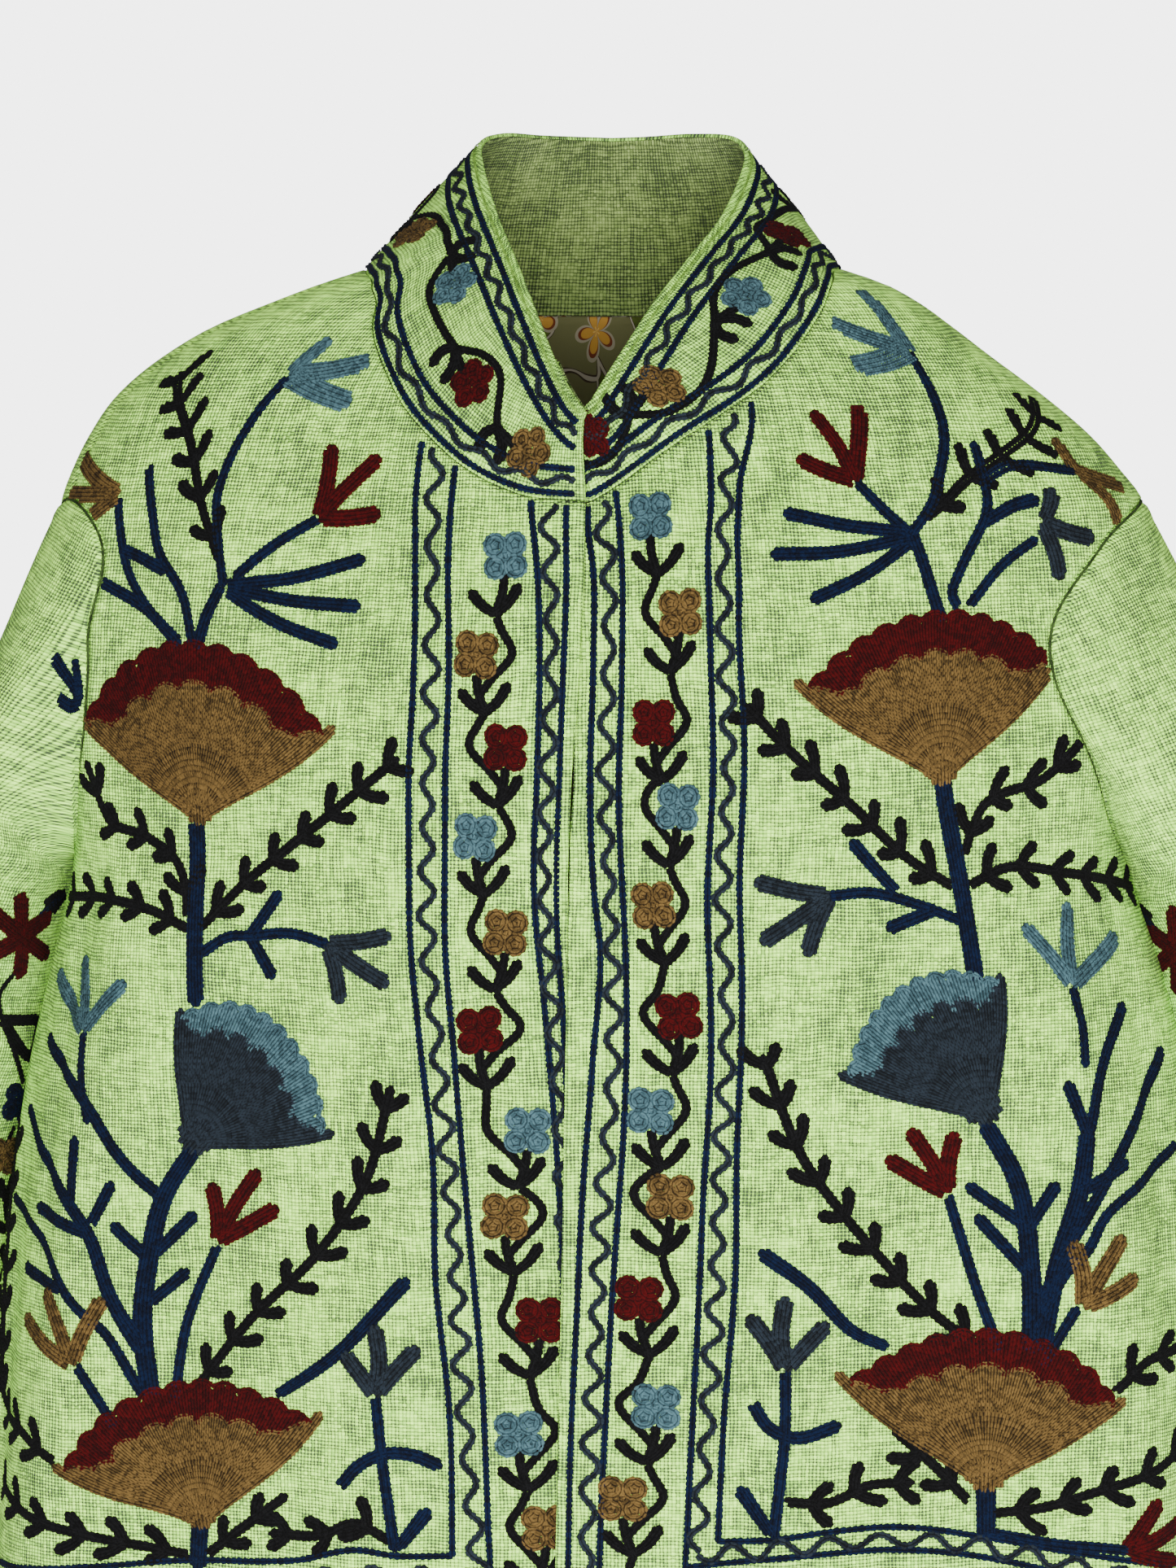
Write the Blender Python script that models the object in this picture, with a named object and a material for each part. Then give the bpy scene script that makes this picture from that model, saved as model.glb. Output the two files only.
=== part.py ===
"""An embroidered jacket of hand-loomed cotton, filled out with nobody in it.

Two fronts, a back, two sleeves, a stand collar and the lining of the upper back are each one
closed wall of cloth. Lengths are in metres. +X is the wearer's left, -Y is the front and +Z is
up. The origin is the middle of the neck opening, at the height of the side of the neck.
"""

import math

import bmesh
import bpy
import numpy as np

# Cloth
WALL = 0.0020
COLLAR_WALL = 0.0026
LINING_WALL = 0.0010
SEAM_GAP = 0.0004
LINING_GAP = 0.0006

# Heights of the cut, from the side of the neck down
SHOULDER_TIP = -0.110
UNDERARM = -0.285
HEM = -0.708
CENTRE_NECK = -0.110
NECK_FADE = 0.26

# Cross-section of the body: a circle has roundness 2, and more is squarer
ROUNDNESS = 2.2

# The body of the jacket, hem to neck
# height, half width on the wearer's right, half width on the left, depth in front, depth behind
BODY = (
    (-0.740, 0.325, 0.327, 0.108, 0.106),
    (-0.708, 0.322, 0.324, 0.109, 0.106),
    (-0.600, 0.311, 0.314, 0.114, 0.106),
    (-0.500, 0.301, 0.305, 0.119, 0.107),
    (-0.450, 0.295, 0.299, 0.121, 0.108),
    (-0.385, 0.284, 0.287, 0.124, 0.110),
    (-0.340, 0.273, 0.275, 0.125, 0.112),
    (-0.285, 0.261, 0.257, 0.125, 0.114),
    (-0.230, 0.264, 0.258, 0.123, 0.115),
    (-0.170, 0.267, 0.258, 0.116, 0.113),
    (-0.130, 0.268, 0.263, 0.107, 0.108),
    (-0.110, 0.266, 0.262, 0.101, 0.104),
    (-0.097, 0.261, 0.252, 0.097, 0.101),
    (-0.081, 0.253, 0.238, 0.092, 0.096),
    (-0.059, 0.237, 0.212, 0.084, 0.089),
    (-0.042, 0.216, 0.189, 0.077, 0.081),
    (-0.026, 0.188, 0.168, 0.069, 0.074),
    (-0.016, 0.163, 0.154, 0.064, 0.069),
    (-0.006, 0.136, 0.135, 0.059, 0.063),
    (0.000, 0.117, 0.117, 0.056, 0.060),
    (0.010, 0.090, 0.090, 0.050, 0.054),
)

# The neck seam: turn from the centre front in degrees, height on the right, height on the left
NECK = (
    (0.0, CENTRE_NECK, CENTRE_NECK),
    (5.0, -0.1070, -0.0935),
    (10.0, -0.0970, -0.0790),
    (16.0, -0.0770, -0.0660),
    (24.0, -0.0470, -0.0500),
    (34.0, -0.0220, -0.0310),
    (48.0, -0.0080, -0.0118),
    (65.0, -0.0020, -0.0025),
    (85.0, 0.0000, 0.0000),
    (105.0, -0.0010, -0.0010),
    (125.0, -0.0060, -0.0060),
    (145.0, -0.0140, -0.0140),
    (165.0, -0.0200, -0.0200),
    (180.0, -0.0210, -0.0210),
)

# Turn of each shoulder seam and side seam, and how far the armhole is cut away, in degrees
RIGHT_SHOULDER_TURN = 76.0
LEFT_SHOULDER_TURN = 92.0
SIDE_TURN = 90.0
ARMHOLE_FRONT_RIGHT = 30.0
ARMHOLE_FRONT_LEFT = 44.0
ARMHOLE_EASE_RIGHT = 0.30
ARMHOLE_EASE_LEFT = 0.55
ARMHOLE_BACK = 26.0

# The centre front edges, hem to neck. The right front lies over the left one at the neck, and
# the left over the right from below the chest down
# height, edge of the right front, edge of the left front, right tucked in, left tucked in
CENTRE_FRONT = (
    (-0.740, 0.0220, -0.0160, 0.0045, 0.0000),
    (-0.640, 0.0190, -0.0134, 0.0045, 0.0000),
    (-0.470, 0.0110, -0.0090, 0.0045, 0.0000),
    (-0.370, 0.0030, -0.0068, 0.0045, 0.0000),
    (-0.320, -0.0040, -0.0058, 0.0045, 0.0000),
    (-0.295, -0.0058, -0.0052, 0.0030, 0.0000),
    (-0.265, -0.0050, -0.0044, 0.0000, 0.0000),
    (-0.235, -0.0038, -0.0032, 0.0000, 0.0030),
    (-0.210, -0.0020, -0.0046, 0.0000, 0.0045),
    (-0.150, 0.0004, -0.0120, 0.0000, 0.0045),
    (-0.110, 0.0005, -0.0150, 0.0000, 0.0045),
    (-0.040, 0.0005, -0.0150, 0.0000, 0.0045),
)
TUCK_FLAT = 0.022
TUCK_END = 0.062

# The largest soft folds of the body, round from the centre front
# turn, width in degrees, top, bottom, depth out of the cloth, lean in degrees for each metre
BODY_FOLDS = (
    (-14.0, 5.0, -0.16, -1.10, 0.005, 6.0),
    (-33.0, 8.0, -0.20, -1.05, -0.007, 12.0),
    (-52.0, 8.0, -0.26, -1.10, 0.008, 16.0),
    (-74.0, 7.0, -0.30, -1.15, -0.008, 10.0),
    (13.0, 5.0, -0.14, -1.10, 0.004, -6.0),
    (31.0, 8.0, -0.22, -1.10, -0.007, -10.0),
    (50.0, 7.0, -0.26, -1.05, 0.008, -18.0),
    (73.0, 8.0, -0.32, -1.15, -0.007, -8.0),
    (-62.0, 6.0, -0.09, -0.33, 0.005, 40.0),
    (60.0, 6.0, -0.09, -0.31, 0.005, -36.0),
    (112.0, 9.0, -0.25, -1.10, -0.006, 10.0),
    (134.0, 9.0, -0.16, -1.15, -0.009, 0.0),
    (158.0, 8.0, -0.20, -1.05, 0.008, 6.0),
    (180.0, 9.0, -0.10, -1.10, -0.008, 0.0),
    (-156.0, 8.0, -0.24, -1.10, 0.007, -8.0),
    (-131.0, 9.0, -0.18, -1.05, -0.009, -4.0),
    (-110.0, 8.0, -0.27, -1.15, -0.006, -10.0),
)

# The free edge of the collar, from the centre front round to the centre back
# x on the right, x on the left, y, height on the right, height on the left
COLLAR_EDGE = (
    (0.000, 0.000, -0.1010, -0.0670, -0.0670),
    (0.008, 0.008, -0.0950, -0.0570, -0.0530),
    (0.017, 0.018, -0.0840, -0.0390, -0.0360),
    (0.027, 0.030, -0.0680, -0.0170, -0.0160),
    (0.037, 0.045, -0.0480, 0.0040, 0.0050),
    (0.048, 0.058, -0.0280, 0.0260, 0.0230),
    (0.057, 0.066, -0.0080, 0.0490, 0.0410),
    (0.060, 0.069, 0.0120, 0.0630, 0.0570),
    (0.052, 0.062, 0.0340, 0.0680, 0.0660),
    (0.034, 0.040, 0.0510, 0.0675, 0.0680),
    (0.016, 0.018, 0.0590, 0.0670, 0.0670),
    (0.000, 0.000, 0.0610, 0.0665, 0.0665),
)
COLLAR_BULGE = 0.005

# The sleeves hang beside the body. A row for each ring: distance down the outer line from the
# shoulder tip, distance down the inner line from the underarm, half depth front to back
SLEEVE = (
    (0.000, 0.000, 0.056),
    (0.034, 0.004, 0.058),
    (0.070, 0.009, 0.061),
    (0.106, 0.015, 0.064),
    (0.140, 0.022, 0.066),
    (0.170, 0.034, 0.066),
    (0.202, 0.060, 0.063),
    (0.234, 0.087, 0.059),
    (0.265, 0.114, 0.055),
    (0.296, 0.141, 0.051),
    (0.327, 0.168, 0.048),
    (0.358, 0.195, 0.045),
    (0.389, 0.222, 0.042),
    (0.420, 0.249, 0.040),
    (0.452, 0.276, 0.038),
    (0.484, 0.303, 0.037),
)
SLEEVE_LENGTH = 0.484
SLEEVE_MIDDLE = 0.004
OUTER_LEAN_TOP = 29.0
OUTER_LEAN_CUFF = 13.0
INNER_LEAN_TOP = 14.0
INNER_LEAN_CUFF = 5.0
INNER_STEP_OUT_RIGHT = -0.002
INNER_STEP_OUT_LEFT = 0.004
INNER_STEP_BACK = 0.030
INNER_STEP_RUN = 0.030
UNDERARM_CLEARANCE = 0.0028
CLEARANCE_RISE = 0.008
CLEARANCE_FALL = (0.024, 0.060)
SEAM_ROUNDING = 0.140

# The largest creases of a sleeve
# place down the outer line, turn round the sleeve in degrees from its outer side, length in
# degrees, width, depth
SLEEVE_FOLDS = (
    (0.150, 60.0, 42.0, 0.022, -0.006),
    (0.205, 100.0, 36.0, 0.020, 0.005),
    (0.262, 70.0, 45.0, 0.020, -0.006),
    (0.318, 100.0, 36.0, 0.022, 0.005),
    (0.372, 60.0, 46.0, 0.020, -0.004),
    (0.150, 290.0, 42.0, 0.024, -0.006),
    (0.215, 258.0, 36.0, 0.021, 0.005),
    (0.275, 300.0, 44.0, 0.022, -0.006),
    (0.335, 258.0, 36.0, 0.020, 0.005),
    (0.395, 290.0, 40.0, 0.022, -0.004),
)

# How finely each piece is cut into faces
FRONT_COLUMNS = 16
BACK_COLUMNS = 26
COLLAR_ROWS = 4
SHOULDER_ROWS = 6
ARMHOLE_ROWS = 10
SLEEVE_POINTS = 2 * ARMHOLE_ROWS
SKIRT_ROWS = 13

# Rows of the back that its lining covers, and the columns at each side that it leaves
LINING_ROWS = 13
LINING_MARGIN = 4

STEP = 1e-4

# Colours, as red, green and blue up to 255
LIME_CLOTH = (200, 218, 160)
SHADED_LIME = (186, 206, 146)
LINING_GREEN = (92, 108, 52)


def smooth(edge_low, edge_high, value):
    """0 below the low edge, 1 above the high edge, and a soft step between."""
    part = np.clip((value - edge_low) / (edge_high - edge_low), 0.0, 1.0)
    return part * part * (3.0 - 2.0 * part)


def through(places, values, at):
    """The value at a place, on one smooth curve through the rows of a table."""
    places = np.asarray(places, float)
    values = np.asarray(values, float)
    slopes = np.gradient(values, places)
    at = np.clip(np.asarray(at, float), places[0], places[-1])
    row = np.clip(np.searchsorted(places, at, side="right") - 1, 0, len(places) - 2)
    span = places[row + 1] - places[row]
    part = (at - places[row]) / span
    start = (1 + 2 * part) * (1 - part) ** 2 * values[row]
    finish = part**2 * (3 - 2 * part) * values[row + 1]
    bend = part * (1 - part) * ((1 - part) * slopes[row] - part * slopes[row + 1])
    return start + finish + span * bend


def column(table, number):
    """One column of a table."""
    return [row[number] for row in table]


def body_width(turn, height):
    """Half the width of the body at a height, on the side that the turn is on."""
    right = through(column(BODY, 0), column(BODY, 1), height)
    left = through(column(BODY, 0), column(BODY, 2), height)
    side = smooth(-8.0, 8.0, np.where(np.abs(turn) > 90, np.sign(turn) * (180 - np.abs(turn)), turn))
    return right + (left - right) * side


def wrapped(turn):
    """A turn brought between -180 and 180 degrees."""
    return (turn + 180.0) % 360.0 - 180.0


def body_point(turn, height):
    """A point of the body's outer face, from its turn round the body and its height."""
    turn = wrapped(np.asarray(turn, float))
    height = np.asarray(height, float)
    angle = np.radians(turn)
    across = np.sign(np.sin(angle)) * np.abs(np.sin(angle)) ** (2 / ROUNDNESS)
    along = np.sign(np.cos(angle)) * np.abs(np.cos(angle)) ** (2 / ROUNDNESS)
    front = through(column(BODY, 0), column(BODY, 3), height)
    back = through(column(BODY, 0), column(BODY, 4), height)
    depth = np.where(np.abs(turn) < 90, front, back)
    width = body_width(turn, height)
    out_x = across * depth
    out_y = -along * width
    size = np.sqrt(out_x**2 + out_y**2) + 1e-9
    fold = body_fold(turn, height)
    x = across * width + fold * out_x / size
    y = -along * depth + fold * out_y / size
    return np.stack([x, y, height + 0.0 * turn], axis=-1)


def body_fold(turn, height):
    """How far the soft folds lift the cloth."""
    lift = 0.0 * turn
    for centre, width, top, bottom, depth, lean in BODY_FOLDS:
        down = np.clip((top - height) / (top - bottom), 0.0, 1.0)
        away = wrapped(turn - centre - lean * (height - top)) / width
        lift = lift + depth * np.sin(math.pi * down) * np.exp(-(away**2))
    return lift


def neck_height(turn):
    """Height of the neck seam at a turn round the neck."""
    turn = wrapped(np.asarray(turn, float))
    right = through(column(NECK, 0), column(NECK, 1), np.abs(turn))
    left = through(column(NECK, 0), column(NECK, 2), np.abs(turn))
    return np.where(turn < 0, right, left)


def cut_height(turn, level):
    """Height of a row of cloth: the top row is the neck seam, and the rows level out below it."""
    return level + neck_height(turn) * np.clip(1 + level / NECK_FADE, 0.0, 1.0)


def cloth_point(turn, level, inward=0.0):
    """A point of the body's cloth at a turn and a row level, moved in from its outer face."""
    turn = np.asarray(turn, float)
    level = np.asarray(level, float) + 0.0 * turn
    point = body_point(turn, cut_height(turn, level))
    return point - np.asarray(inward)[..., None] * cloth_normal(turn, level)


def cloth_normal(turn, level):
    """The way out of the cloth at a turn and a row level."""
    height = cut_height(turn, level)
    ahead = body_point(turn + 0.05, height) - body_point(turn - 0.05, height)
    down = body_point(turn, height - STEP) - body_point(turn, height + STEP)
    normal = np.cross(down, ahead)
    return normal / np.linalg.norm(normal, axis=-1, keepdims=True)


def turn_of_x(x, height):
    """The turn on the front at which the cloth is x to the side of the middle."""
    width = body_width(np.sign(x) * 1.0, height)
    part = np.clip(np.abs(x) / width, 0.0, 1.0)
    return np.sign(x) * np.degrees(np.arcsin(part ** (ROUNDNESS / 2)))


def armhole_turns(side, level):
    """Turns of the armhole's front and back edges on a side, at a row level."""
    shoulder = RIGHT_SHOULDER_TURN if side < 0 else LEFT_SHOULDER_TURN
    down = np.clip((SHOULDER_TIP - level) / (SHOULDER_TIP - UNDERARM), 0.0, 1.0)
    round_part = np.sqrt(np.clip(1 - (2 * down - 1) ** 2, 0.0, 1.0))
    middle = shoulder + (SIDE_TURN - shoulder) * smooth(0.0, 0.4, down)
    cut = ARMHOLE_FRONT_RIGHT if side < 0 else ARMHOLE_FRONT_LEFT
    ease = ARMHOLE_EASE_RIGHT if side < 0 else ARMHOLE_EASE_LEFT
    front = middle - cut * (1 - ease * down) * round_part
    return front, middle + ARMHOLE_BACK * round_part


def row_levels():
    """Row levels from the neck to the hem, closer together round the ends of the armhole."""
    shoulder = np.linspace(0.0, SHOULDER_TIP, SHOULDER_ROWS + 1)[:-1]
    arc = (1 - np.cos(np.linspace(0, math.pi, ARMHOLE_ROWS + 1))) / 2
    armhole = SHOULDER_TIP + (UNDERARM - SHOULDER_TIP) * arc
    skirt = np.linspace(UNDERARM, HEM, SKIRT_ROWS + 1)[1:]
    return np.concatenate([shoulder, armhole, skirt])


def seam_allowance(turn, level, gap):
    """The degrees of turn that a gap takes up at a place on the cloth."""
    ahead = cloth_point(turn + 0.25, level) - cloth_point(turn - 0.25, level)
    return gap * 0.5 / np.linalg.norm(ahead, axis=-1)


def tuck(side, x, height):
    """How far the cloth of a front is tucked in behind the other front near the centre."""
    edge = through(column(CENTRE_FRONT, 0), column(CENTRE_FRONT, 1 if side < 0 else 2), height)
    deep = through(column(CENTRE_FRONT, 0), column(CENTRE_FRONT, 3 if side < 0 else 4), height)
    away = np.abs(x - edge)
    return np.clip(deep, 0.0, None) * (1 - smooth(TUCK_FLAT, TUCK_END, away))


def front_grid(side, extra_inward=0.0):
    """The points of a front, row by row from the neck down and from the centre outwards."""
    rows = []
    for level in row_levels():
        height = float(cut_height(side * 1.0, level))
        edge_column = 1 if side < 0 else 2
        edge = float(through(column(CENTRE_FRONT, 0), column(CENTRE_FRONT, edge_column), height))
        start = float(turn_of_x(edge, height))
        front_edge, _ = armhole_turns(side, level)
        finish = side * float(front_edge)
        finish = finish - side * float(seam_allowance(finish, level, SEAM_GAP))
        turns = start + (finish - start) * np.linspace(0.0, 1.0, FRONT_COLUMNS + 1)
        x = cloth_point(turns, level)[:, 0]
        rows.append(cloth_point(turns, level, extra_inward + tuck(side, x, height)))
    return np.array(rows)


def back_grid(inward=0.0):
    """The points of the back, row by row from the neck down, from the right to the left."""
    rows = []
    for level in row_levels():
        _, right_edge = armhole_turns(-1, level)
        _, left_edge = armhole_turns(1, level)
        start = 360.0 - float(right_edge)
        finish = float(left_edge)
        start = start - float(seam_allowance(start, level, SEAM_GAP))
        finish = finish + float(seam_allowance(finish, level, SEAM_GAP))
        turns = start + (finish - start) * np.linspace(0.0, 1.0, BACK_COLUMNS + 1)
        rows.append(cloth_point(turns, level, inward + 0.0 * turns))
    return np.array(rows)


def armhole_loop(side, gap):
    """The armhole's edge in order from the shoulder tip down the front and up the back, and the
    way out of the cloth along it."""
    half = SLEEVE_POINTS // 2
    arc = (1 - np.cos(np.linspace(0, math.pi, half + 1))) / 2
    levels = SHOULDER_TIP + (UNDERARM - SHOULDER_TIP) * arc
    front, back = armhole_turns(side, levels)
    turns = np.concatenate([front, back[::-1][1:-1]])
    levels = np.concatenate([levels, levels[::-1][1:-1]])
    points = cloth_point(side * turns, levels)
    normals = cloth_normal(side * turns, levels)
    ring_ahead = np.roll(points, -1, axis=0) - np.roll(points, 1, axis=0)
    into_sleeve = np.cross(normals, ring_ahead)
    into_sleeve /= np.linalg.norm(into_sleeve, axis=-1, keepdims=True)
    upward = np.sign(into_sleeve[half, 2])
    return points + upward * gap * into_sleeve, normals


def hanging_line(start, side, lean_top, lean_end, distance):
    """A point down a line that hangs from a start, leaning outwards less and less."""
    samples = 24
    place = np.array(start, float)
    for number in range(samples):
        part = (number + 0.5) / samples * distance / SLEEVE_LENGTH
        lean = math.radians(lean_top + (lean_end - lean_top) * part)
        place = place + distance / samples * np.array([side * math.sin(lean), 0.0, -math.cos(lean)])
    return place


def sleeve_grid(side):
    """The rings of a sleeve from the armhole to the cuff, and the way out of the cloth."""
    loop, loop_normals = armhole_loop(side, SEAM_GAP)
    half = SLEEVE_POINTS // 2
    tip = loop[0]
    foot = loop[half]
    middle = (tip + foot) / 2
    first_side = (tip - foot) / 2
    reach = np.dot(first_side, first_side)
    offsets = loop - middle
    along_side = offsets @ first_side / np.dot(first_side, first_side)
    from_line = offsets - along_side[:, None] * first_side
    turns = 2 * math.pi * np.arange(SLEEVE_POINTS) / SLEEVE_POINTS
    rings = []
    for outer_run, inner_run, half_depth in SLEEVE:
        outer = hanging_line(tip, side, OUTER_LEAN_TOP, OUTER_LEAN_CUFF, outer_run)
        inner = hanging_line(foot, side, INNER_LEAN_TOP, INNER_LEAN_CUFF, inner_run)
        step = INNER_STEP_OUT_RIGHT if side < 0 else INNER_STEP_OUT_LEFT
        stepped = smooth(0.0, INNER_STEP_RUN, inner_run)
        cleared = smooth(0.0, CLEARANCE_RISE, inner_run) * (1 - smooth(*CLEARANCE_FALL, inner_run))
        inner[0] += side * (step * stepped + UNDERARM_CLEARANCE * cleared)
        inner[1] += INNER_STEP_BACK * stepped
        centre = (outer + inner) / 2
        across = (outer - inner) / 2
        rounded = smooth(0.0, SEAM_ROUNDING, outer_run)
        centre[1] += (SLEEVE_MIDDLE - middle[1]) * rounded
        part = along_side * (1 - rounded) + np.cos(turns) * rounded
        depth = -half_depth * np.sin(turns) * rounded
        ring = centre + part[:, None] * across + (1 - rounded) * from_line
        ring = ring + depth[:, None] * np.array([0.0, 1.0, 0.0])
        rings.append(ring)
    grid = np.array(rings)
    normals = ring_normals(grid)
    grid = grid + sleeve_fold(side)[..., None] * normals
    normals = ring_normals(grid)
    agree = smooth(0.3, 0.8, np.sum(normals[0] * loop_normals, axis=1))[:, None]
    first = normals[0] * (1 - agree) + loop_normals * agree
    normals[0] = first / np.linalg.norm(first, axis=1, keepdims=True)
    return grid, normals


def sleeve_fold(side):
    """How far the creases of a sleeve lift its cloth, ring by ring."""
    places = np.array(column(SLEEVE, 0))[:, None]
    turns = 360.0 * np.arange(SLEEVE_POINTS)[None, :] / SLEEVE_POINTS
    lift = 0.0 * places + 0.0 * turns
    for place, turn, length, width, depth in SLEEVE_FOLDS:
        shifted = place + (0.0 if side < 0 else 0.017)
        away = wrapped(turns - turn) / length
        lift = lift + depth * np.exp(-(away**2) - ((places - shifted) / width) ** 2)
    return lift * smooth(0.06, 0.14, places)


def ring_normals(grid):
    """The way out of the cloth at each point of a closed tube of rings."""
    around = np.roll(grid, -1, axis=1) - np.roll(grid, 1, axis=1)
    along = np.gradient(grid, axis=0)
    normals = np.cross(around, along)
    normals /= np.linalg.norm(normals, axis=-1, keepdims=True)
    centres = grid.mean(axis=1, keepdims=True)
    outward = np.sign(np.sum(normals * (grid - centres)))
    return outward * normals


def free_edge(side):
    """The collar's free edge on one side, from the centre front to the centre back."""
    places = np.arange(len(COLLAR_EDGE), dtype=float)
    finely = np.linspace(0.0, places[-1], 121)
    x = side * through(places, column(COLLAR_EDGE, 0 if side < 0 else 1), finely)
    y = through(places, column(COLLAR_EDGE, 2), finely)
    z = through(places, column(COLLAR_EDGE, 3 if side < 0 else 4), finely)
    return np.stack([x, y, z], axis=1)


def collar_edge_line(side, start_x):
    """One side's free edge from its front end, which runs a little way past the centre."""
    past = free_edge(-side)
    past = past[(np.abs(past[:, 0]) < abs(start_x)) & (past[:, 1] < 0)][::-1]
    return np.concatenate([past[:-1], free_edge(side)])


def neck_line():
    """The cloth's neck edge from the right front's end, round the back, to the left front's end,
    and the way out of the cloth along it."""
    runs = []
    for inward in (0.0, WALL):
        right = front_grid(-1, inward)[0]
        left = front_grid(1, inward)[0][::-1]
        behind = back_grid(inward)[0]
        right_seam = (right[-1:] + behind[:1]) / 2
        left_seam = (behind[-1:] + left[:1]) / 2
        runs.append(np.concatenate([right[:-1], right_seam, behind[1:-1], left_seam, left[1:]]))
    outer, inner = runs
    return outer, (outer - inner) / WALL


def edge_place(line, parts):
    """Points at given parts of a line's length."""
    steps = np.linalg.norm(np.diff(line, axis=0), axis=1)
    run = np.concatenate([[0.0], np.cumsum(steps)])
    wanted = np.asarray(parts) * run[-1]
    return np.stack([np.interp(wanted, run, line[:, axis]) for axis in range(3)], axis=1)


def collar_edge(foot):
    """The collar's free edge, with a point for each point of its foot."""
    steps = np.linalg.norm(np.diff(foot, axis=0), axis=1)
    run = np.concatenate([[0.0], np.cumsum(steps)])
    behind = np.where(foot[:, 1] > 0)[0]
    middle = np.interp(0.0, foot[behind, 0], run[behind])
    on_right = run <= middle
    right = edge_place(collar_edge_line(-1, foot[0, 0]), run[on_right] / middle)
    left_parts = (run[-1] - run[~on_right]) / (run[-1] - middle)
    left = edge_place(collar_edge_line(1, foot[-1, 0]), left_parts)
    depth = np.where(left[:, 1] < 0, tuck(1, left[:, 0], np.full(len(left), CENTRE_NECK)), 0.0)
    left = left + depth[:, None] * np.array([0.0, 1.0, 0.0])
    return np.concatenate([right, left])


def collar_grid():
    """The collar's outer face and the way out of it, from its right end round to its left."""
    foot, seam_normals = neck_line()
    edge = collar_edge(foot)
    rise = edge - foot
    rise /= np.linalg.norm(rise, axis=1, keepdims=True)
    foot = foot + SEAM_GAP * rise
    parts = np.linspace(0.0, 1.0, COLLAR_ROWS + 1)[:, None, None]
    grid = foot * (1 - parts) + edge * parts
    normals = sheet_normals(grid)
    level_part = normals * np.array([1.0, 1.0, 0.0])
    normals = np.sign(np.sum(level_part * grid)) * normals
    grid = grid + COLLAR_BULGE * np.sin(math.pi * parts) * normals
    normals[0] = seam_normals
    return grid, normals


def sheet_normals(grid):
    """A normal for each point of an open sheet."""
    down = np.gradient(grid, axis=0)
    across = np.gradient(grid, axis=1)
    normals = np.cross(down, across)
    return normals / np.linalg.norm(normals, axis=-1, keepdims=True)


def linear(colour):
    """A colour as a material's red, green and blue."""
    parts = [channel / 255.0 for channel in colour]
    return tuple(((part + 0.055) / 1.055) ** 2.4 for part in parts)


def cloth_material(name, colour, roughness):
    """Matt woven cloth."""
    material = bpy.data.materials.new(name)
    material.use_nodes = True
    shader = material.node_tree.nodes["Principled BSDF"]
    shader.inputs["Base Color"].default_value = (*linear(colour), 1.0)
    shader.inputs["Roughness"].default_value = roughness
    shader.inputs["Metallic"].default_value = 0.0
    return material


def wall_object(name, outer, inner, closed, material):
    """A closed wall of cloth between two grids of points. A closed one joins its last column
    to its first."""
    rows, columns = outer.shape[:2]
    mesh = bmesh.new()
    outside = [[mesh.verts.new(point) for point in row] for row in outer]
    inside = [[mesh.verts.new(point) for point in row] for row in inner]
    spans = columns if closed else columns - 1
    for row in range(rows - 1):
        for start in range(spans):
            end = (start + 1) % columns
            for face in (outside, inside):
                mesh.faces.new((face[row][start], face[row][end], face[row + 1][end], face[row + 1][start]))
    for row in (0, rows - 1):
        for start in range(spans):
            end = (start + 1) % columns
            mesh.faces.new((outside[row][start], outside[row][end], inside[row][end], inside[row][start]))
    if not closed:
        for side in (0, columns - 1):
            for row in range(rows - 1):
                corners = (outside[row][side], outside[row + 1][side], inside[row + 1][side], inside[row][side])
                mesh.faces.new(corners)
    bmesh.ops.recalc_face_normals(mesh, faces=mesh.faces)
    data = bpy.data.meshes.new(name)
    mesh.to_mesh(data)
    mesh.free()
    data.shade_smooth()
    data.set_sharp_from_angle(angle=math.radians(50))
    data.materials.append(material)
    piece = bpy.data.objects.new(name, data)
    bpy.context.scene.collection.objects.link(piece)
    return piece


def make_front(name, side, material):
    """A front panel."""
    return wall_object(name, front_grid(side), front_grid(side, WALL), False, material)


def make_back(material):
    """The back panel."""
    return wall_object("back", back_grid(), back_grid(WALL), False, material)


def make_lining(material):
    """The lining of the upper back."""
    face = WALL + LINING_GAP
    stretch = (slice(0, LINING_ROWS + 1), slice(LINING_MARGIN, BACK_COLUMNS + 1 - LINING_MARGIN))
    outer = back_grid(face)[stretch]
    inner = back_grid(face + LINING_WALL)[stretch]
    return wall_object("back_lining", outer, inner, False, material)


def make_sleeve(name, side, material):
    """A sleeve, open at the armhole and the cuff."""
    grid, normals = sleeve_grid(side)
    return wall_object(name, grid, grid - WALL * normals, True, material)


def make_collar(material):
    """The stand collar, open at the centre front."""
    grid, normals = collar_grid()
    return wall_object("collar", grid, grid - COLLAR_WALL * normals, False, material)


def make_jacket():
    """The whole jacket."""
    for old in list(bpy.data.objects):
        bpy.data.objects.remove(old)
    cloth = cloth_material("lime_slub_cotton", LIME_CLOTH, 0.92)
    collar_cloth = cloth_material("doubled_slub_cotton", SHADED_LIME, 0.92)
    lining = cloth_material("printed_lining", LINING_GREEN, 0.7)
    make_back(cloth)
    make_front("right_front", -1, cloth)
    make_front("left_front", 1, cloth)
    make_sleeve("right_sleeve", -1, cloth)
    make_sleeve("left_sleeve", 1, cloth)
    make_collar(collar_cloth)
    make_lining(lining)


make_jacket()
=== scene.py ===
import math

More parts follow.
